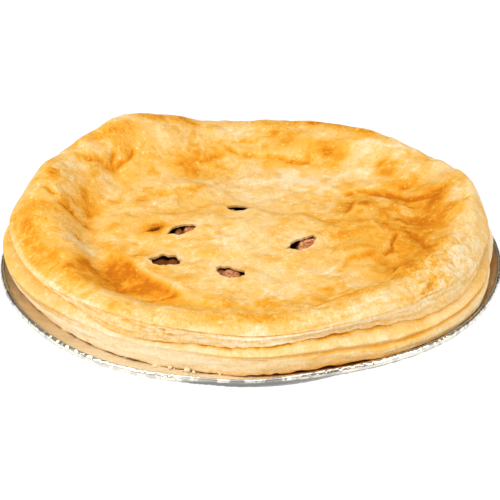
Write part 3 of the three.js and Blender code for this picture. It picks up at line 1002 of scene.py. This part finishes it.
def skin_browning(x, y):
    """How far the lid's upper face is baked: a golden mean, paler over the crest, with ragged patches, pale
    cracks, and more on raised spots, in the pits and along the folds, where a painted shadow and highlight
    are laid too, and with a painted highlight round the slits' lips."""
    angle = angle_of(x, y)
    share = lid_share(x, y)
    crest_share = around(CREST_SHARE, angle)
    value = LID_BAKE - around(CREST_PALENESS, angle) * bell(share - crest_share - 0.03, 0.06)
    ragged_x, ragged_y = moved(x, y, 15.0, 1.5, 61)
    ragged_x, ragged_y = moved(ragged_x, ragged_y, 5.0, 1.1, 63)
    value = value + ovals(BROWNING, ragged_x, ragged_y) + flat_bell(SQUARE_PATCH, x, y)
    value = value + 0.45 * np.minimum(-torn(x, y), 1.0)
    calm = ease(share, 0.7, 0.88) * ease(-y, -30.0, 20.0)
    plain = 1.0 - ease(np.hypot(x - 2.0, y + 12.0), 45.0, 70.0)
    blotches = ease(rough(ragged_x / 10.0, ragged_y / 10.0, 67), -0.1, 0.55)
    value = value + (0.22 - 0.12 * calm - 0.11 * plain) * blotches
    value = value + 0.05 * calm + 0.04 * plain
    value = value + 0.07 * rough(x / 3.6, y / 3.6, 69)
    value = value + 0.22 * (blisters(x, y) - 0.2) - 0.17 * veins(ragged_x, ragged_y)
    # Painted highlight: a little paler round the slits' lips
    value = value - 0.04 * bell(slit_distance(x, y) - 0.4, 1.0)
    value = value + 0.18 * oval(TORN_FLAKES, x, y) * rough(x / 2.6, y / 2.6, 157, 2)
    # Painted shadow along the folds' creases and painted highlight on their raised edges
    value = value + fold_bake_shade_and_highlight(x, y)
    return value - around(LIP_PALENESS, angle) * ease(share, 0.975, 0.99)


def leaf_browning_and_shade(angle, down):
    """How far the lid's layered side is baked, at a share of the way down it: pale leaves, painted shade low
    under the overhang, browner with painted shade between them, in the openings and towards the seam."""
    value = around(SIDE_BAKE, angle) + 0.10 * rough(steps(angle, 128), down * 5.0, 71)
    # Painted shade low on the side under the lid's overhang
    value = value + around(LOW_SIDE_SHADE, angle) * bell(down - 0.84, 0.12)
    # Browning and painted shade towards the seam, and painted shade on the lines between the leaves and in
    # the openings
    value = value + seam_browning_and_shade(angle) * ease(down, 0.84, 1.0) + 0.26 * side_lines(angle, 1.0 - down)
    return value + 0.24 * side_pits(angle, 1.0 - down) - 0.14 * side_rims(angle, 1.0 - down)


def lid_browning(x, y, z):
    """How far the lid is baked: as its skin above the edge and as its leaves below it."""
    angle = angle_of(x, y)
    edge_height = around(EDGE_HEIGHT, angle)
    down = np.clip((edge_height - z) / (edge_height - seam_level(angle)), 0.0, 1.0)
    side = ease(down, 0.0, 0.12) * ease(lid_share(x, y), 0.9, 0.96)
    skin = np.maximum(skin_browning(x, y), 0.1)
    return np.clip(blend(skin, leaf_browning_and_shade(angle, down), side), 0.0, 1.0)


def lid_crinkle(x, y):
    """How crinkled the skin is, from 0 to 1: a little all over, and more in some places."""
    return np.clip(0.2 + ovals(CRINKLES, x, y), 0.0, 1.0)


def lid_soak_and_shade(x, y, z):
    """How far a point is down a slit's wall: 0 half a millimetre below the skin, and 1 at two millimetres.
    There the wall takes gravy and painted shade, darker the deeper it goes.
    """
    return ease(lid_skin(x, y) - z, 0.5, 2.0) * (1.0 - ease(lid_share(x, y), 0.8, 0.9))


def lid_marks(x, y, z):
    """What the lid's points carry. Its colour is drawn out into streaks across the roll."""
    return {
        "browning": lid_browning(x, y, z),
        "soak_and_shade": lid_soak_and_shade(x, y, z),
        "crinkle": lid_crinkle(x, y),
        "streak": ease(lid_share(x, y), 0.74, 0.92),
    }


def case_mesh():
    """The pastry case: rings from the middle of its floor out to the flange, up the cut face, over the ridge,
    into the groove, up the shoulder to the lid, and back down inside."""
    angle = round_angles(CASE_COLUMNS)[None, :]
    foot = around(FOOT_RADIUS, angle)
    foot_level = foot_height(angle)
    smooth = beside(angle, 246.0, 20.0)
    bulge = around(CUT_FACE_BULGE, angle) * (1.0 - 0.85 * smooth)
    face_height = around(CUT_FACE_HEIGHT, angle)
    groove = foot - around(GROOVE_DEPTH, angle)
    crevice = crevice_radius(angle)
    floor = FOIL_THICKNESS + CLEARANCE
    base_rings = [
        (0.0, floor),
        (BASE_RADIUS - CLEARANCE, floor),
        (FLANGE_INNER_RADIUS - CLEARANCE, FLANGE_INNER_HEIGHT + CLEARANCE),
    ]
    base, base_level = level_rings(base_rings, CASE_COLUMNS)
    up = np.linspace(0.0, 1.0, CASE_FACE_ROWS)[:, None]
    swell = np.interp(up, [0.0, 0.12, 0.32, 0.65, 1.0], [0.1, 0.25, 0.45, 1.0, RIDGE_SWELL])
    face_rough = 0.28 * rough(steps(angle, 128), up * 4.0, 73) + 0.22 * rough(steps(angle, 64), up * 1.2, 79)
    face = foot + swell * bulge + face_rough * ease(up, 0.0, 0.1)
    ragged = 0.6 * rough(steps(angle, 128), 0.0, 83) * (1.0 - ease(up, 0.0, 0.3))
    face_level = foot_level + up * face_height + ragged
    over = np.linspace(0.0, 1.0, CASE_SHOULDER_ROWS)[1:, None]
    shoulder = np.where(
        over < 0.24,
        blend(foot + RIDGE_SWELL * bulge, groove, ease(over, 0.0, 0.22)),
        blend(groove, crevice, ease(over, 0.45, 1.0)) + (0.9 - 0.7 * smooth) * bell(over - 0.5, 0.16),
    )
    shoulder = shoulder + around(SHOULDER_SWELL, angle) * bell(over - 0.4, 0.28)
    shoulder = shoulder + 0.22 * rough(steps(angle, 128), over * 3.0, 89)
    shoulder = shoulder + 0.45 * ease(over, 0.8, 1.0)
    shoulder_level = blend(foot_level + face_height, seam_level(angle) + SEAM_COVER, over)
    seat = np.array(SEAT_SHARES)[:, None] * crevice
    seat_level = at_polar(lid_under, angle, seat) - SEAT_CLEARANCE
    inner_floor = floor + CASE_THICKNESS
    inner_rings = [(BASE_RADIUS - CASE_THICKNESS, inner_floor), (0.0, inner_floor)]
    inner, inner_level = level_rings(inner_rings, CASE_COLUMNS)
    radius = np.concatenate([base, face, shoulder, seat, inner])
    level = np.concatenate([base_level, face_level, shoulder_level, seat_level, inner_level])
    return shell_mesh("pastry_case", [to_points(angle, radius, level)])


def case_browning(x, y, z):
    """How far the case is baked: cream on the cut face, more to the right and at its foot, with painted shade
    on its underside, orange in the groove with painted shade, golden on the shoulder and brown with painted
    shade where it meets the lid."""
    angle = angle_of(x, y)
    foot_level = foot_height(angle)
    face_height = around(CUT_FACE_HEIGHT, angle)
    up = (z - foot_level) / face_height
    ridge_level = foot_level + face_height
    over = (z - ridge_level) / (seam_level(angle) + SEAM_COVER - ridge_level)
    face = around(FACE_BAKE, angle) + around(FACE_FOOT_BAKE, angle) * (1.0 - ease(up, 0.0, 0.45))
    # Painted shade: dark brown on the case's underside below its foot
    face = face + 0.5 * (1.0 - ease(up, -0.12, 0.0)) + 0.10 * rough(steps(angle, 128), up * 4.0, 97)
    shoulder = around(SHOULDER_BAKE, angle) + 0.10 * rough(steps(angle, 128), over * 3.0, 101)
    # Browning and painted shade along the groove
    shoulder = shoulder + around(GROOVE_BAKE_AND_SHADE, angle) * bell(over - 0.16, 0.08)
    # Browning and painted shade in the crevice under the lid
    shoulder = shoulder + seam_browning_and_shade(angle) * ease(over, 0.74, 1.0)
    return np.clip(blend(face, shoulder, ease(over, -0.02, 0.06)), 0.0, 1.0)


def tin_mesh():
    """The tin: rings from the middle of its underside out along the base, up the fluted wall, along the
    flange, round the pleated bead, and back inside. Its wrinkles and pleats are seeded waves in the angle."""
    angle = round_angles(TIN_COLUMNS)[None, :]
    base = np.array([0.0, 30.0, 60.0, 80.0, 84.0, BASE_RADIUS])
    wall = np.linspace(BASE_RADIUS, FLANGE_INNER_RADIUS, 7)[1:]
    flange = np.linspace(FLANGE_INNER_RADIUS, FLANGE_END, 9)[1:]
    inside = np.concatenate([base, wall, flange])[:, None]
    out = flange_share(inside)
    on_wall = bell(inside - 0.5 * (BASE_RADIUS + FLANGE_INNER_RADIUS), 6.0)
    flutes = FLUTE_DEPTH * np.cos(np.radians(angle) * FLUTE_COUNT) * on_wall
    wrinkles = 0.16 * lattice(steps(angle, 384), inside / 9.0, 103)
    wrinkles = wrinkles + 0.12 * rough(steps(angle, 128), inside / 6.0, 107)
    crease = wrinkles * ease(out, 0.0, 0.3) + flutes
    inside_height = tin_top(angle, inside) + crease * ease(inside, BASE_RADIUS - 2.0, BASE_RADIUS + 4.0)
    outside_height = inside_height - FOIL_THICKNESS
    half_turn = np.linspace(-150.0, 150.0, BEAD_ROWS)[:, None]
    pleat = 0.13 * lattice(steps(angle, 768), half_turn / 80.0, 109)
    pleat = pleat + 0.14 * lattice(steps(angle, 384), half_turn / 70.0, 113)
    pleat = np.minimum(pleat, 0.12) - 0.12
    bead_radius = RIM_RADIUS - BEAD_HALF_WIDTH + (BEAD_HALF_WIDTH + pleat) * np.cos(np.radians(half_turn))
    bead_height = bead_level(angle) + (BEAD_HALF_HEIGHT + pleat) * np.sin(np.radians(half_turn))
    spread = around(RIM_SPREAD, angle)
    inside = inside + spread * out
    radius = np.concatenate([inside, bead_radius + spread, inside[::-1]])
    height = np.concatenate([outside_height, bead_height, inside_height[::-1]])
    return shell_mesh("foil", [to_points(angle, radius, height)])


def tin_marks(x, y, z):
    """What the foil's points carry, from 0 to 1: whether they are on the rolled bead, the painted shade that
    greys the underside, the painted shade in the bead's crimps and painted dark reflections on it, streaks
    and a painted reflection of the pastry on the flange, and grease with painted shade by the foot of the
    case."""
    angle = angle_of(x, y)
    radius = np.hypot(x, y)
    radius = radius - flange_share(radius) * around(RIM_SPREAD, angle)
    rolled = ease(radius, FLANGE_END - 0.2, FLANGE_END + 0.2)
    on_flange = 1.0 - rolled
    # Painted shade: grey on the underside of the foil, and on the lower side of the bead up to BEAD_SHADE
    below = ease(tin_top(angle, radius) - z, 0.2, 0.4)
    bead_shaded = ease(bead_level(angle) - z + around(BEAD_SHADE, angle), 0.3, 1.3)
    # Painted shade in the crimps of the bead, painted dark reflections in dashes at the front and at its two
    # ends, and painted shade on its inner half
    pleats = lattice(steps(angle, 640), z / 3.0, 163)
    pleats = pleats + 0.6 * lattice(steps(angle, 128), z / 3.0, 167)
    crimp_shade = ease(pleats, 0.0, 0.8) * around(CRIMP_SHADE, angle)
    reflection_dashes = ease(lattice(steps(angle, 192), z / 2.0, 199), -0.1, 0.4) * beside(angle, 270.0, 14.0)
    inner_side_shade = 0.8 * ease(RIM_RADIUS - BEAD_HALF_WIDTH - radius, -0.4, 0.5)
    shade_and_reflection = np.maximum(np.maximum(crimp_shade, reflection_dashes + around(BEAD_END_REFLECTION, angle)), inner_side_shade)
    slant = angle + 0.5 * (radius - FLANGE_INNER_RADIUS)
    streak = lattice(steps(slant, 704), radius / 7.0, 173)
    streak = streak + 0.8 * lattice(steps(slant, 192), radius / 9.0, 179)
    # Grease and painted shade on the flange under and beside the foot of the case
    reach = around(GREASE_AND_SHADE_REACH, angle) + 0.4 * rough(steps(angle, 128), 0.0, 191)
    grease_and_shade = 1.0 - ease(radius - around(FOOT_RADIUS, angle), 0.4 * reach - 0.3, reach)
    return {
        "rolled": rolled,
        "under": blend(below, bead_shaded, rolled),
        "crimp_shade": rolled * shade_and_reflection,
        "streak": on_flange * ease(streak, -0.9, 1.1),
        # Painted reflection of the pastry, tan on the flange at the left and at the right
        "pastry_reflection": on_flange * around(FLANGE_PASTRY_REFLECTION, angle),
        "grease_and_shade": on_flange * (1.0 - below) * grease_and_shade,
    }


def filling_top(x, y):
    """The filling's upper face: lumpy gravy with a gap below the lid, which the chunks of meat close and in
    the slits pass."""
    away = np.maximum(slit_distance(x, y), 0.0)
    in_slit = lid_skin(x, y) - SLIT_LIP - 0.6 - 0.6 * away
    ceiling = np.maximum(lid_under(x, y) - AIR_LEAST, np.where(away < SLIT_UNDERCUT, in_slit, 0.0))
    radius = np.hypot(x, y)
    air = AIR_DEPTH * (1.0 - ease(radius, AIR_INNER_RADIUS, AIR_OUTER_RADIUS))
    meat = np.max([flat_bell(chunk[:6], x, y) for chunk in CHUNKS], axis=0)
    lumps = 0.5 * rough(x / 5.0, y / 5.0, 127) * (1.0 - ease(radius, 60.0, 78.0))
    return np.minimum(ceiling - air + meat + lumps, ceiling)


def filling_mesh():
    """The filling: a floor, an upright wall and the lumpy upper face."""
    angle = round_angles(FILLING_COLUMNS)[None, :]
    floor = FOIL_THICKNESS + CASE_THICKNESS + 2.0 * CLEARANCE
    floor_radius = BASE_RADIUS - CASE_THICKNESS - 2.0 * CLEARANCE
    base, base_height = level_rings([(0.0, floor), (floor_radius, floor)], FILLING_COLUMNS)
    top = np.linspace(1.0, 0.0, FILLING_ROWS)[:, None] * FILLING_RADIUS + 0.0 * angle
    top_height = at_polar(filling_top, angle, top)
    radius = np.concatenate([base, top])
    height = np.concatenate([base_height, top_height])
    return shell_mesh("meat_filling", [to_points(angle, radius, height)])


def filling_meat(x, y):
    """How pink the filling is: each chunk's own share on top of it, and zero in the gravy."""
    return np.max(
        [chunk[6] * ease(flat_bell(chunk[:6], x, y) / chunk[2], 0.3, 0.7) for chunk in CHUNKS], axis=0
    )


def crumb_shells():
    """Crumbs: small balls flattened and dented by a seeded lattice, each resting on the flange."""
    draw = np.random.default_rng(137)
    latitude = np.linspace(-90.0, 90.0, CRUMB_ROWS)[:, None]
    longitude = round_angles(CRUMB_COLUMNS)[None, :]
    shells = []
    for number, (x, y, size) in enumerate(CRUMBS):
        dent = 1.0 + 0.35 * rough(steps(longitude, 64), latitude / 40.0, 139 + number)
        ring = 0.5 * size * dent * np.cos(np.radians(latitude))
        squash = draw.uniform(0.55, 0.8)
        spin = draw.uniform(0.0, 360.0)
        ball = to_points(longitude + spin, ring, 0.5 * size * squash * np.sin(np.radians(latitude)))
        ball[0] = ball[0].mean(axis=0)
        ball[-1] = ball[-1].mean(axis=0)
        angle = angle_of(np.array(x), np.array(y))
        level = float(tin_top(angle, np.hypot(x, y))) + 0.5 * size * squash + 0.1
        shells.append(ball + np.array([x, y, level]))
    return shells


def add_node(tree, kind, settings, sockets):
    """A new node with its settings, and its sockets set to a value or linked to another node's output."""
    made = tree.nodes.new(kind)
    for key, value in settings.items():
        setattr(made, key, value)
    for key, value in sockets.items():
        if isinstance(value, bpy.types.NodeSocket):
            tree.links.new(value, made.inputs[key])
        else:
            made.inputs[key].default_value = value
    return made


def sum_of(tree, operation, *values):
    """The result of a maths node on these values."""
    return add_node(tree, "ShaderNodeMath", {"operation": operation}, dict(enumerate(values))).outputs[0]


def vector_of(tree, operation, *values):
    """The vector that a vector maths node makes of these values."""
    made = add_node(tree, "ShaderNodeVectorMath", {"operation": operation}, dict(enumerate(values)))
    return made.outputs["Vector"]


def noise(tree, where, scale, detail, roughness=0.5, output="Fac"):
    """A noise texture at a place, as a value or a colour."""
    sockets = {"Vector": where, "Scale": scale, "Detail": detail, "Roughness": roughness}
    return add_node(tree, "ShaderNodeTexNoise", {}, sockets).outputs[output]


def carried(tree, value, low, high, first=0.0, last=1.0, curve="LINEAR"):
    """A value carried over from the range low to high to the range first to last."""
    sockets = {"Value": value, "From Min": low, "From Max": high, "To Min": first, "To Max": last}
    return add_node(tree, "ShaderNodeMapRange", {"interpolation_type": curve}, sockets).outputs["Result"]


def mixed(tree, share, first, second, kind="RGBA", way="MIX"):
    """The first colour at a share of zero and the second at one, or numbers of the kind FLOAT."""
    settings = {"data_type": kind, "blend_type": way}
    sockets = {"Factor": share, "A": first, "B": second}
    return add_node(tree, "ShaderNodeMix", settings, sockets).outputs["Result"]


def mark(tree, name):
    """The value that a piece's points carry under that name."""
    return add_node(tree, "ShaderNodeAttribute", {"attribute_name": name}, {}).outputs["Fac"]


def raise_grain(tree, shader, strength, distance, height):
    """Gives the shader a bump of that strength and distance in metres from a height."""
    sockets = {"Strength": strength, "Distance": distance, "Height": height}
    raised = add_node(tree, "ShaderNodeBump", {}, sockets).outputs["Normal"]
    tree.links.new(raised, shader.inputs["Normal"])


def set_stops(ramp, stops):
    """Gives a colour ramp these stops, each a place and a colour."""
    while len(ramp.elements) < len(stops):
        ramp.elements.new(1.0)
    for element, (position, colour) in zip(ramp.elements, stops):
        element.position = position
        element.color = (*colour, 1.0)


def crust_colour_group():
    """A node group that turns a browning from 0 to 1 into the pastry's colour: mottled by two sizes of noise,
    crossed in places by pale cracks, dotted, streaked outwards and browned along fine crinkles. Its grain is
    a height for a bump."""
    group = bpy.data.node_groups.new("crust_colour", "ShaderNodeTree")
    for name in ("Browning", "Mottle", "Crinkle", "Streak"):
        group.interface.new_socket(name, in_out="INPUT", socket_type="NodeSocketFloat")
    group.interface.new_socket("Colour", in_out="OUTPUT", socket_type="NodeSocketColor")
    group.interface.new_socket("Grain", in_out="OUTPUT", socket_type="NodeSocketFloat")
    enter = group.nodes.new("NodeGroupInput")
    leave = group.nodes.new("NodeGroupOutput")
    where = group.nodes.new("ShaderNodeTexCoord").outputs["Object"]
    browning = enter.outputs["Browning"]

    # Mottling, which is weaker on brown
    coarse = noise(group, where, 420.0, 3.0, 0.6)
    fine = noise(group, where, 1500.0, 2.0, 0.6)
    both = sum_of(group, "MULTIPLY_ADD", fine, 1.4, coarse)
    centred = sum_of(group, "SUBTRACT", both, 1.2)
    steady = carried(group, browning, 0.35, 0.85, 1.0, 0.4)
    strength = sum_of(group, "MULTIPLY", steady, enter.outputs["Mottle"])
    scaled = sum_of(group, "MULTIPLY", centred, strength)
    mottled = sum_of(group, "ADD", scaled, browning)

    # Pale cracks between bent cells, in some places only
    sway = noise(group, where, 160.0, 2.0, output="Color")
    bent = vector_of(group, "MULTIPLY_ADD", sway, (0.006, 0.006, 0.006), where)
    cell_sockets = {"Vector": bent, "Scale": 150.0}
    cells = add_node(group, "ShaderNodeTexVoronoi", {"feature": "DISTANCE_TO_EDGE"}, cell_sockets)
    crack = carried(group, cells.outputs["Distance"], 0.0, 0.055, 0.22, 0.0)
    where_cracked = carried(group, noise(group, where, 45.0, 2.0), 0.5, 0.66)
    paler = sum_of(group, "MULTIPLY", crack, where_cracked)
    cracked = sum_of(group, "SUBTRACT", mottled, paler)

    # Pale dots on some of a finer set of cells, stronger on brown
    dots = add_node(group, "ShaderNodeTexVoronoi", {}, {"Vector": bent, "Scale": 330.0})
    dot = carried(group, dots.outputs["Distance"], 0.08, 0.36, 1.0, 0.0, "SMOOTHSTEP")
    draws = add_node(group, "ShaderNodeSeparateColor", {}, {"Color": dots.outputs["Color"]}).outputs["Red"]
    some_dots = sum_of(group, "MULTIPLY", dot, carried(group, draws, 0.35, 0.75))
    on_brown = carried(group, browning, 0.3, 0.6, 0.10, 0.34)
    speckle = sum_of(group, "MULTIPLY", some_dots, on_brown)
    speckled = sum_of(group, "SUBTRACT", cracked, speckle)

    # Streaks: noise drawn out along the distance from the axis, by the angle from the front
    split = add_node(group, "ShaderNodeSeparateXYZ", {}, {"Vector": where}).outputs
    behind = sum_of(group, "MULTIPLY", split["Y"], -1.0)
    turn = sum_of(group, "ARCTAN2", split["X"], behind)
    level = add_node(group, "ShaderNodeCombineXYZ", {}, {"X": split["X"], "Y": split["Y"]}).outputs[0]
    far = add_node(group, "ShaderNodeVectorMath", {"operation": "LENGTH"}, {0: level}).outputs["Value"]
    polar = add_node(group, "ShaderNodeCombineXYZ", {}, {"X": turn, "Y": far, "Z": split["Z"]}).outputs[0]
    drawn = vector_of(group, "MULTIPLY", polar, (130.0, 420.0, 420.0))
    streak = carried(group, noise(group, drawn, 1.0, 2.0, 0.6), 0.3, 0.7, -0.08, 0.08)
    streaked = sum_of(group, "MULTIPLY_ADD", streak, enter.outputs["Streak"], speckled)

    # Crinkles: thin lines where another noise passes its middle
    from_line = sum_of(group, "SUBTRACT", noise(group, bent, 230.0, 3.0, 0.6), 0.5)
    off_line = sum_of(group, "ABSOLUTE", from_line)
    line = carried(group, off_line, 0.0, 0.05, 1.0, 0.0, "SMOOTHSTEP")
    crinkle = sum_of(group, "MULTIPLY", line, enter.outputs["Crinkle"])
    total = sum_of(group, "MULTIPLY_ADD", crinkle, 0.20, streaked)

    ramp = add_node(group, "ShaderNodeValToRGB", {}, {"Fac": total})
    set_stops(ramp.color_ramp, CRUST_COLOURS)
    group.links.new(ramp.outputs["Color"], leave.inputs["Colour"])
    grain = sum_of(group, "MULTIPLY_ADD", crinkle, -1.6, both)
    pebbled = sum_of(group, "MULTIPLY_ADD", some_dots, 0.7, grain)
    group.links.new(pebbled, leave.inputs["Grain"])
    return group


def new_material(name):
    """An empty node material with its output, as the material, its tree and its Principled shader."""
    material = bpy.data.materials.new(name)
    material.use_nodes = True
    tree = material.node_tree
    return material, tree, tree.nodes["Principled BSDF"]


def pastry_material(name, crust_colour, mottle, roughness, bump):
    """Baked pastry: the crust's colour from the piece's own browning, gravy and painted shade down the slits'
    walls, and a fine grain raised by a bump."""
    material, tree, shader = new_material(name)
    sockets = {key: mark(tree, key.lower()) for key in ("Browning", "Crinkle", "Streak")}
    sockets["Mottle"] = mottle
    crust = add_node(tree, "ShaderNodeGroup", {"node_tree": crust_colour}, sockets)
    # Gravy and painted shade down the slits' walls
    soaked_and_shaded = mixed(tree, mark(tree, "soak_and_shade"), crust.outputs["Colour"], SOAKED_AND_SHADED_COLOUR)
    tree.links.new(soaked_and_shaded, shader.inputs["Base Color"])
    raise_grain(tree, shader, bump, 0.0006, crust.outputs["Grain"])
    shader.inputs["Roughness"].default_value = roughness
    shader.inputs["Specular IOR Level"].default_value = 0.03
    return material


def foil_material():
    """Bright foil: metal with cloudy roughness, duller on the flange than on the rolled rim, with painted
    shade greying its underside, a painted reflection of the pastry, painted shade and dark reflections on the
    bead, streaks, and grease with painted shade laid over its colour in turn."""
    material, tree, shader = new_material("bright_foil")
    where = tree.nodes.new("ShaderNodeTexCoord").outputs["Object"]
    rolled = mark(tree, "rolled")
    flange_dull = carried(tree, noise(tree, where, 90.0, 4.0, 0.7), 0.0, 1.0, 0.32, 0.52)
    tree.links.new(mixed(tree, rolled, flange_dull, 0.22, "FLOAT"), shader.inputs["Roughness"])
    tree.links.new(mixed(tree, rolled, 0.78, 1.0, "FLOAT"), shader.inputs["Metallic"])
    # Painted shade greys the underside and the bead's lower side
    colour = mixed(tree, mark(tree, "under"), FOIL_COLOUR, UNDERSIDE_SHADE_COLOUR)
    # Painted reflection of the pastry on the flange
    colour = mixed(tree, mark(tree, "pastry_reflection"), colour, PASTRY_REFLECTION_COLOUR)
    # Painted shade and dark reflections on the bead
    colour = mixed(tree, mark(tree, "crimp_shade"), colour, CRIMP_SHADE_COLOUR)
    colour = mixed(tree, mark(tree, "streak"), colour, STREAK_COLOUR, way="MULTIPLY")
    # Grease with painted shade by the foot of the case
    colour = mixed(tree, mark(tree, "grease_and_shade"), colour, GREASE_AND_SHADE_COLOUR)
    tree.links.new(colour, shader.inputs["Base Color"])
    raise_grain(tree, shader, 0.04, 0.0004, noise(tree, where, 700.0, 3.0, 0.6))
    return material


def filling_material():
    """Wet gravy, and chunks of meat that are pink and tan where their attribute says so."""
    material, tree, shader = new_material("meat_and_gravy")
    where = tree.nodes.new("ShaderNodeTexCoord").outputs["Object"]
    fibres = vector_of(tree, "MULTIPLY", where, (0.8, 1.0, 1.0))
    grain = noise(tree, fibres, 800.0, 4.0, 0.65)
    meat_ramp = add_node(tree, "ShaderNodeValToRGB", {}, {"Fac": grain})
    set_stops(meat_ramp.color_ramp, MEAT_COLOURS)
    colour = mixed(tree, mark(tree, "meat"), GRAVY_COLOUR, meat_ramp.outputs["Color"])
    tree.links.new(colour, shader.inputs["Base Color"])
    raise_grain(tree, shader, 0.8, 0.0008, grain)
    shader.inputs["Roughness"].default_value = 0.45
    shader.inputs["Specular IOR Level"].default_value = 0.15
    return material


def panel(name, power, size, location):
    """A square soft light of that size in metres, at a place and turned towards the pie."""
    light = bpy.data.lights.new(name, "AREA")
    light.energy = power
    light.size = size
    lamp = bpy.data.objects.new(name, light)
    lamp.location = location
    direction = np.array(LIGHT_AIM) - np.array(location)
    tilt = math.atan2(math.hypot(direction[0], direction[1]), -direction[2])
    lamp.rotation_euler = (tilt, 0.0, math.atan2(direction[0], -direction[1]) + math.pi)
    scene.collection.objects.link(lamp)


crust_colour = crust_colour_group()
lid_finish = pastry_material("lid_pastry", crust_colour, mottle=0.34, roughness=0.5, bump=0.5)
case_finish = pastry_material("case_pastry", crust_colour, mottle=0.30, roughness=0.7, bump=0.45)
foil_finish = foil_material()
filling_finish = filling_material()

# The lid, with the slits cut through it
lid = place("pastry_lid", lid_mesh())
cut_out(lid, place("slit_plugs", shell_mesh("slit_plugs", slit_shells())))
lid.data.set_sharp_from_angle(angle=math.radians(LID_SHARP_ANGLE))
dress(lid, lid_finish, lid_marks(*corners_of(lid.data)))

# The case under it, the foil tin, the filling and the crumbs
case = place("pastry_case", case_mesh())
dress(case, case_finish, {"browning": case_browning(*corners_of(case.data)), "crinkle": 0.3, "streak": 0.5})
tin = place("foil", tin_mesh())
dress(tin, foil_finish, tin_marks(*corners_of(tin.data)))
filling = place("meat_filling", filling_mesh())
dress(filling, filling_finish, {"meat": filling_meat(*corners_of(filling.data)[:2])})
crumbs = place("crumbs", shell_mesh("crumbs", crumb_shells()))
dress(crumbs, case_finish, {"browning": CRUMB_BAKE})

for piece, node, slot in (
    (lid, "top_crust", "lid_pastry"),
    (case, "bottom_crust", "case_pastry"),
    (tin, "foil_tin", "foil"),
    (filling, "filling", "meat_filling"),
    (crumbs, None, "case_pastry"),
):
    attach(piece, "root")
    if node:
        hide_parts(node)

# A pale floor
half_floor = 0.5 * FLOOR_SIZE * MM
floor_corners = [(-half_floor, -half_floor, 0), (half_floor, -half_floor, 0)]
floor_corners += [(half_floor, half_floor, 0), (-half_floor, half_floor, 0)]
floor_mesh = bpy.data.meshes.new("floor")
floor_mesh.from_pydata(floor_corners, [], [(0, 1, 2, 3)])
floor = place("floor", floor_mesh)
floor_finish, _, floor_shader = new_material("pale_floor")
floor_shader.inputs["Base Color"].default_value = (0.04, 0.04, 0.04, 1.0)
floor_shader.inputs["Roughness"].default_value = 0.9
floor_shader.inputs["Specular IOR Level"].default_value = 0.0
floor_shader.inputs["Emission Color"].default_value = (1.0, 1.0, 1.0, 1.0)
floor_shader.inputs["Emission Strength"].default_value = 1.0
floor.data.materials.append(floor_finish)

# Soft studio light: a bright room, and large panels overhead, in front and at both sides
scene.world = bpy.data.worlds.new("studio")
scene.world.use_nodes = True
room = scene.world.node_tree.nodes["Background"]
room.inputs["Color"].default_value = (1.0, 1.0, 1.0, 1.0)
room.inputs["Strength"].default_value = 0.18
panel("key_panel", 8.0, 0.45, (-0.88, -0.5, 0.62))
panel("overhead_panel", 8.6, 1.1, (-0.05, 0.05, 1.1))
panel("front_panel", 6.1, 1.2, (-0.15, -1.3, 0.4))
panel("right_panel", 4.6, 0.6, (0.9, -0.4, 0.5))

# The camera, as the pie was seen
camera_data = bpy.data.cameras.new("camera")
camera_data.sensor_width = SENSOR_WIDTH
camera_data.lens = FOCAL_PIXELS * SENSOR_WIDTH / FRAME_PIXELS
camera = bpy.data.objects.new("camera", camera_data)
spot = (0.0, -DISTANCE * math.cos(ELEVATION), AIM_HEIGHT + DISTANCE * math.sin(ELEVATION))
camera.matrix_world = (
    Matrix.Translation(spot)
    @ Matrix.Rotation(math.pi / 2.0 - ELEVATION, 4, "X")
    @ Matrix.Rotation(ROLL, 4, "Z")
)
scene.collection.objects.link(camera)
scene.camera = camera
scene.view_settings.view_transform = "Standard"
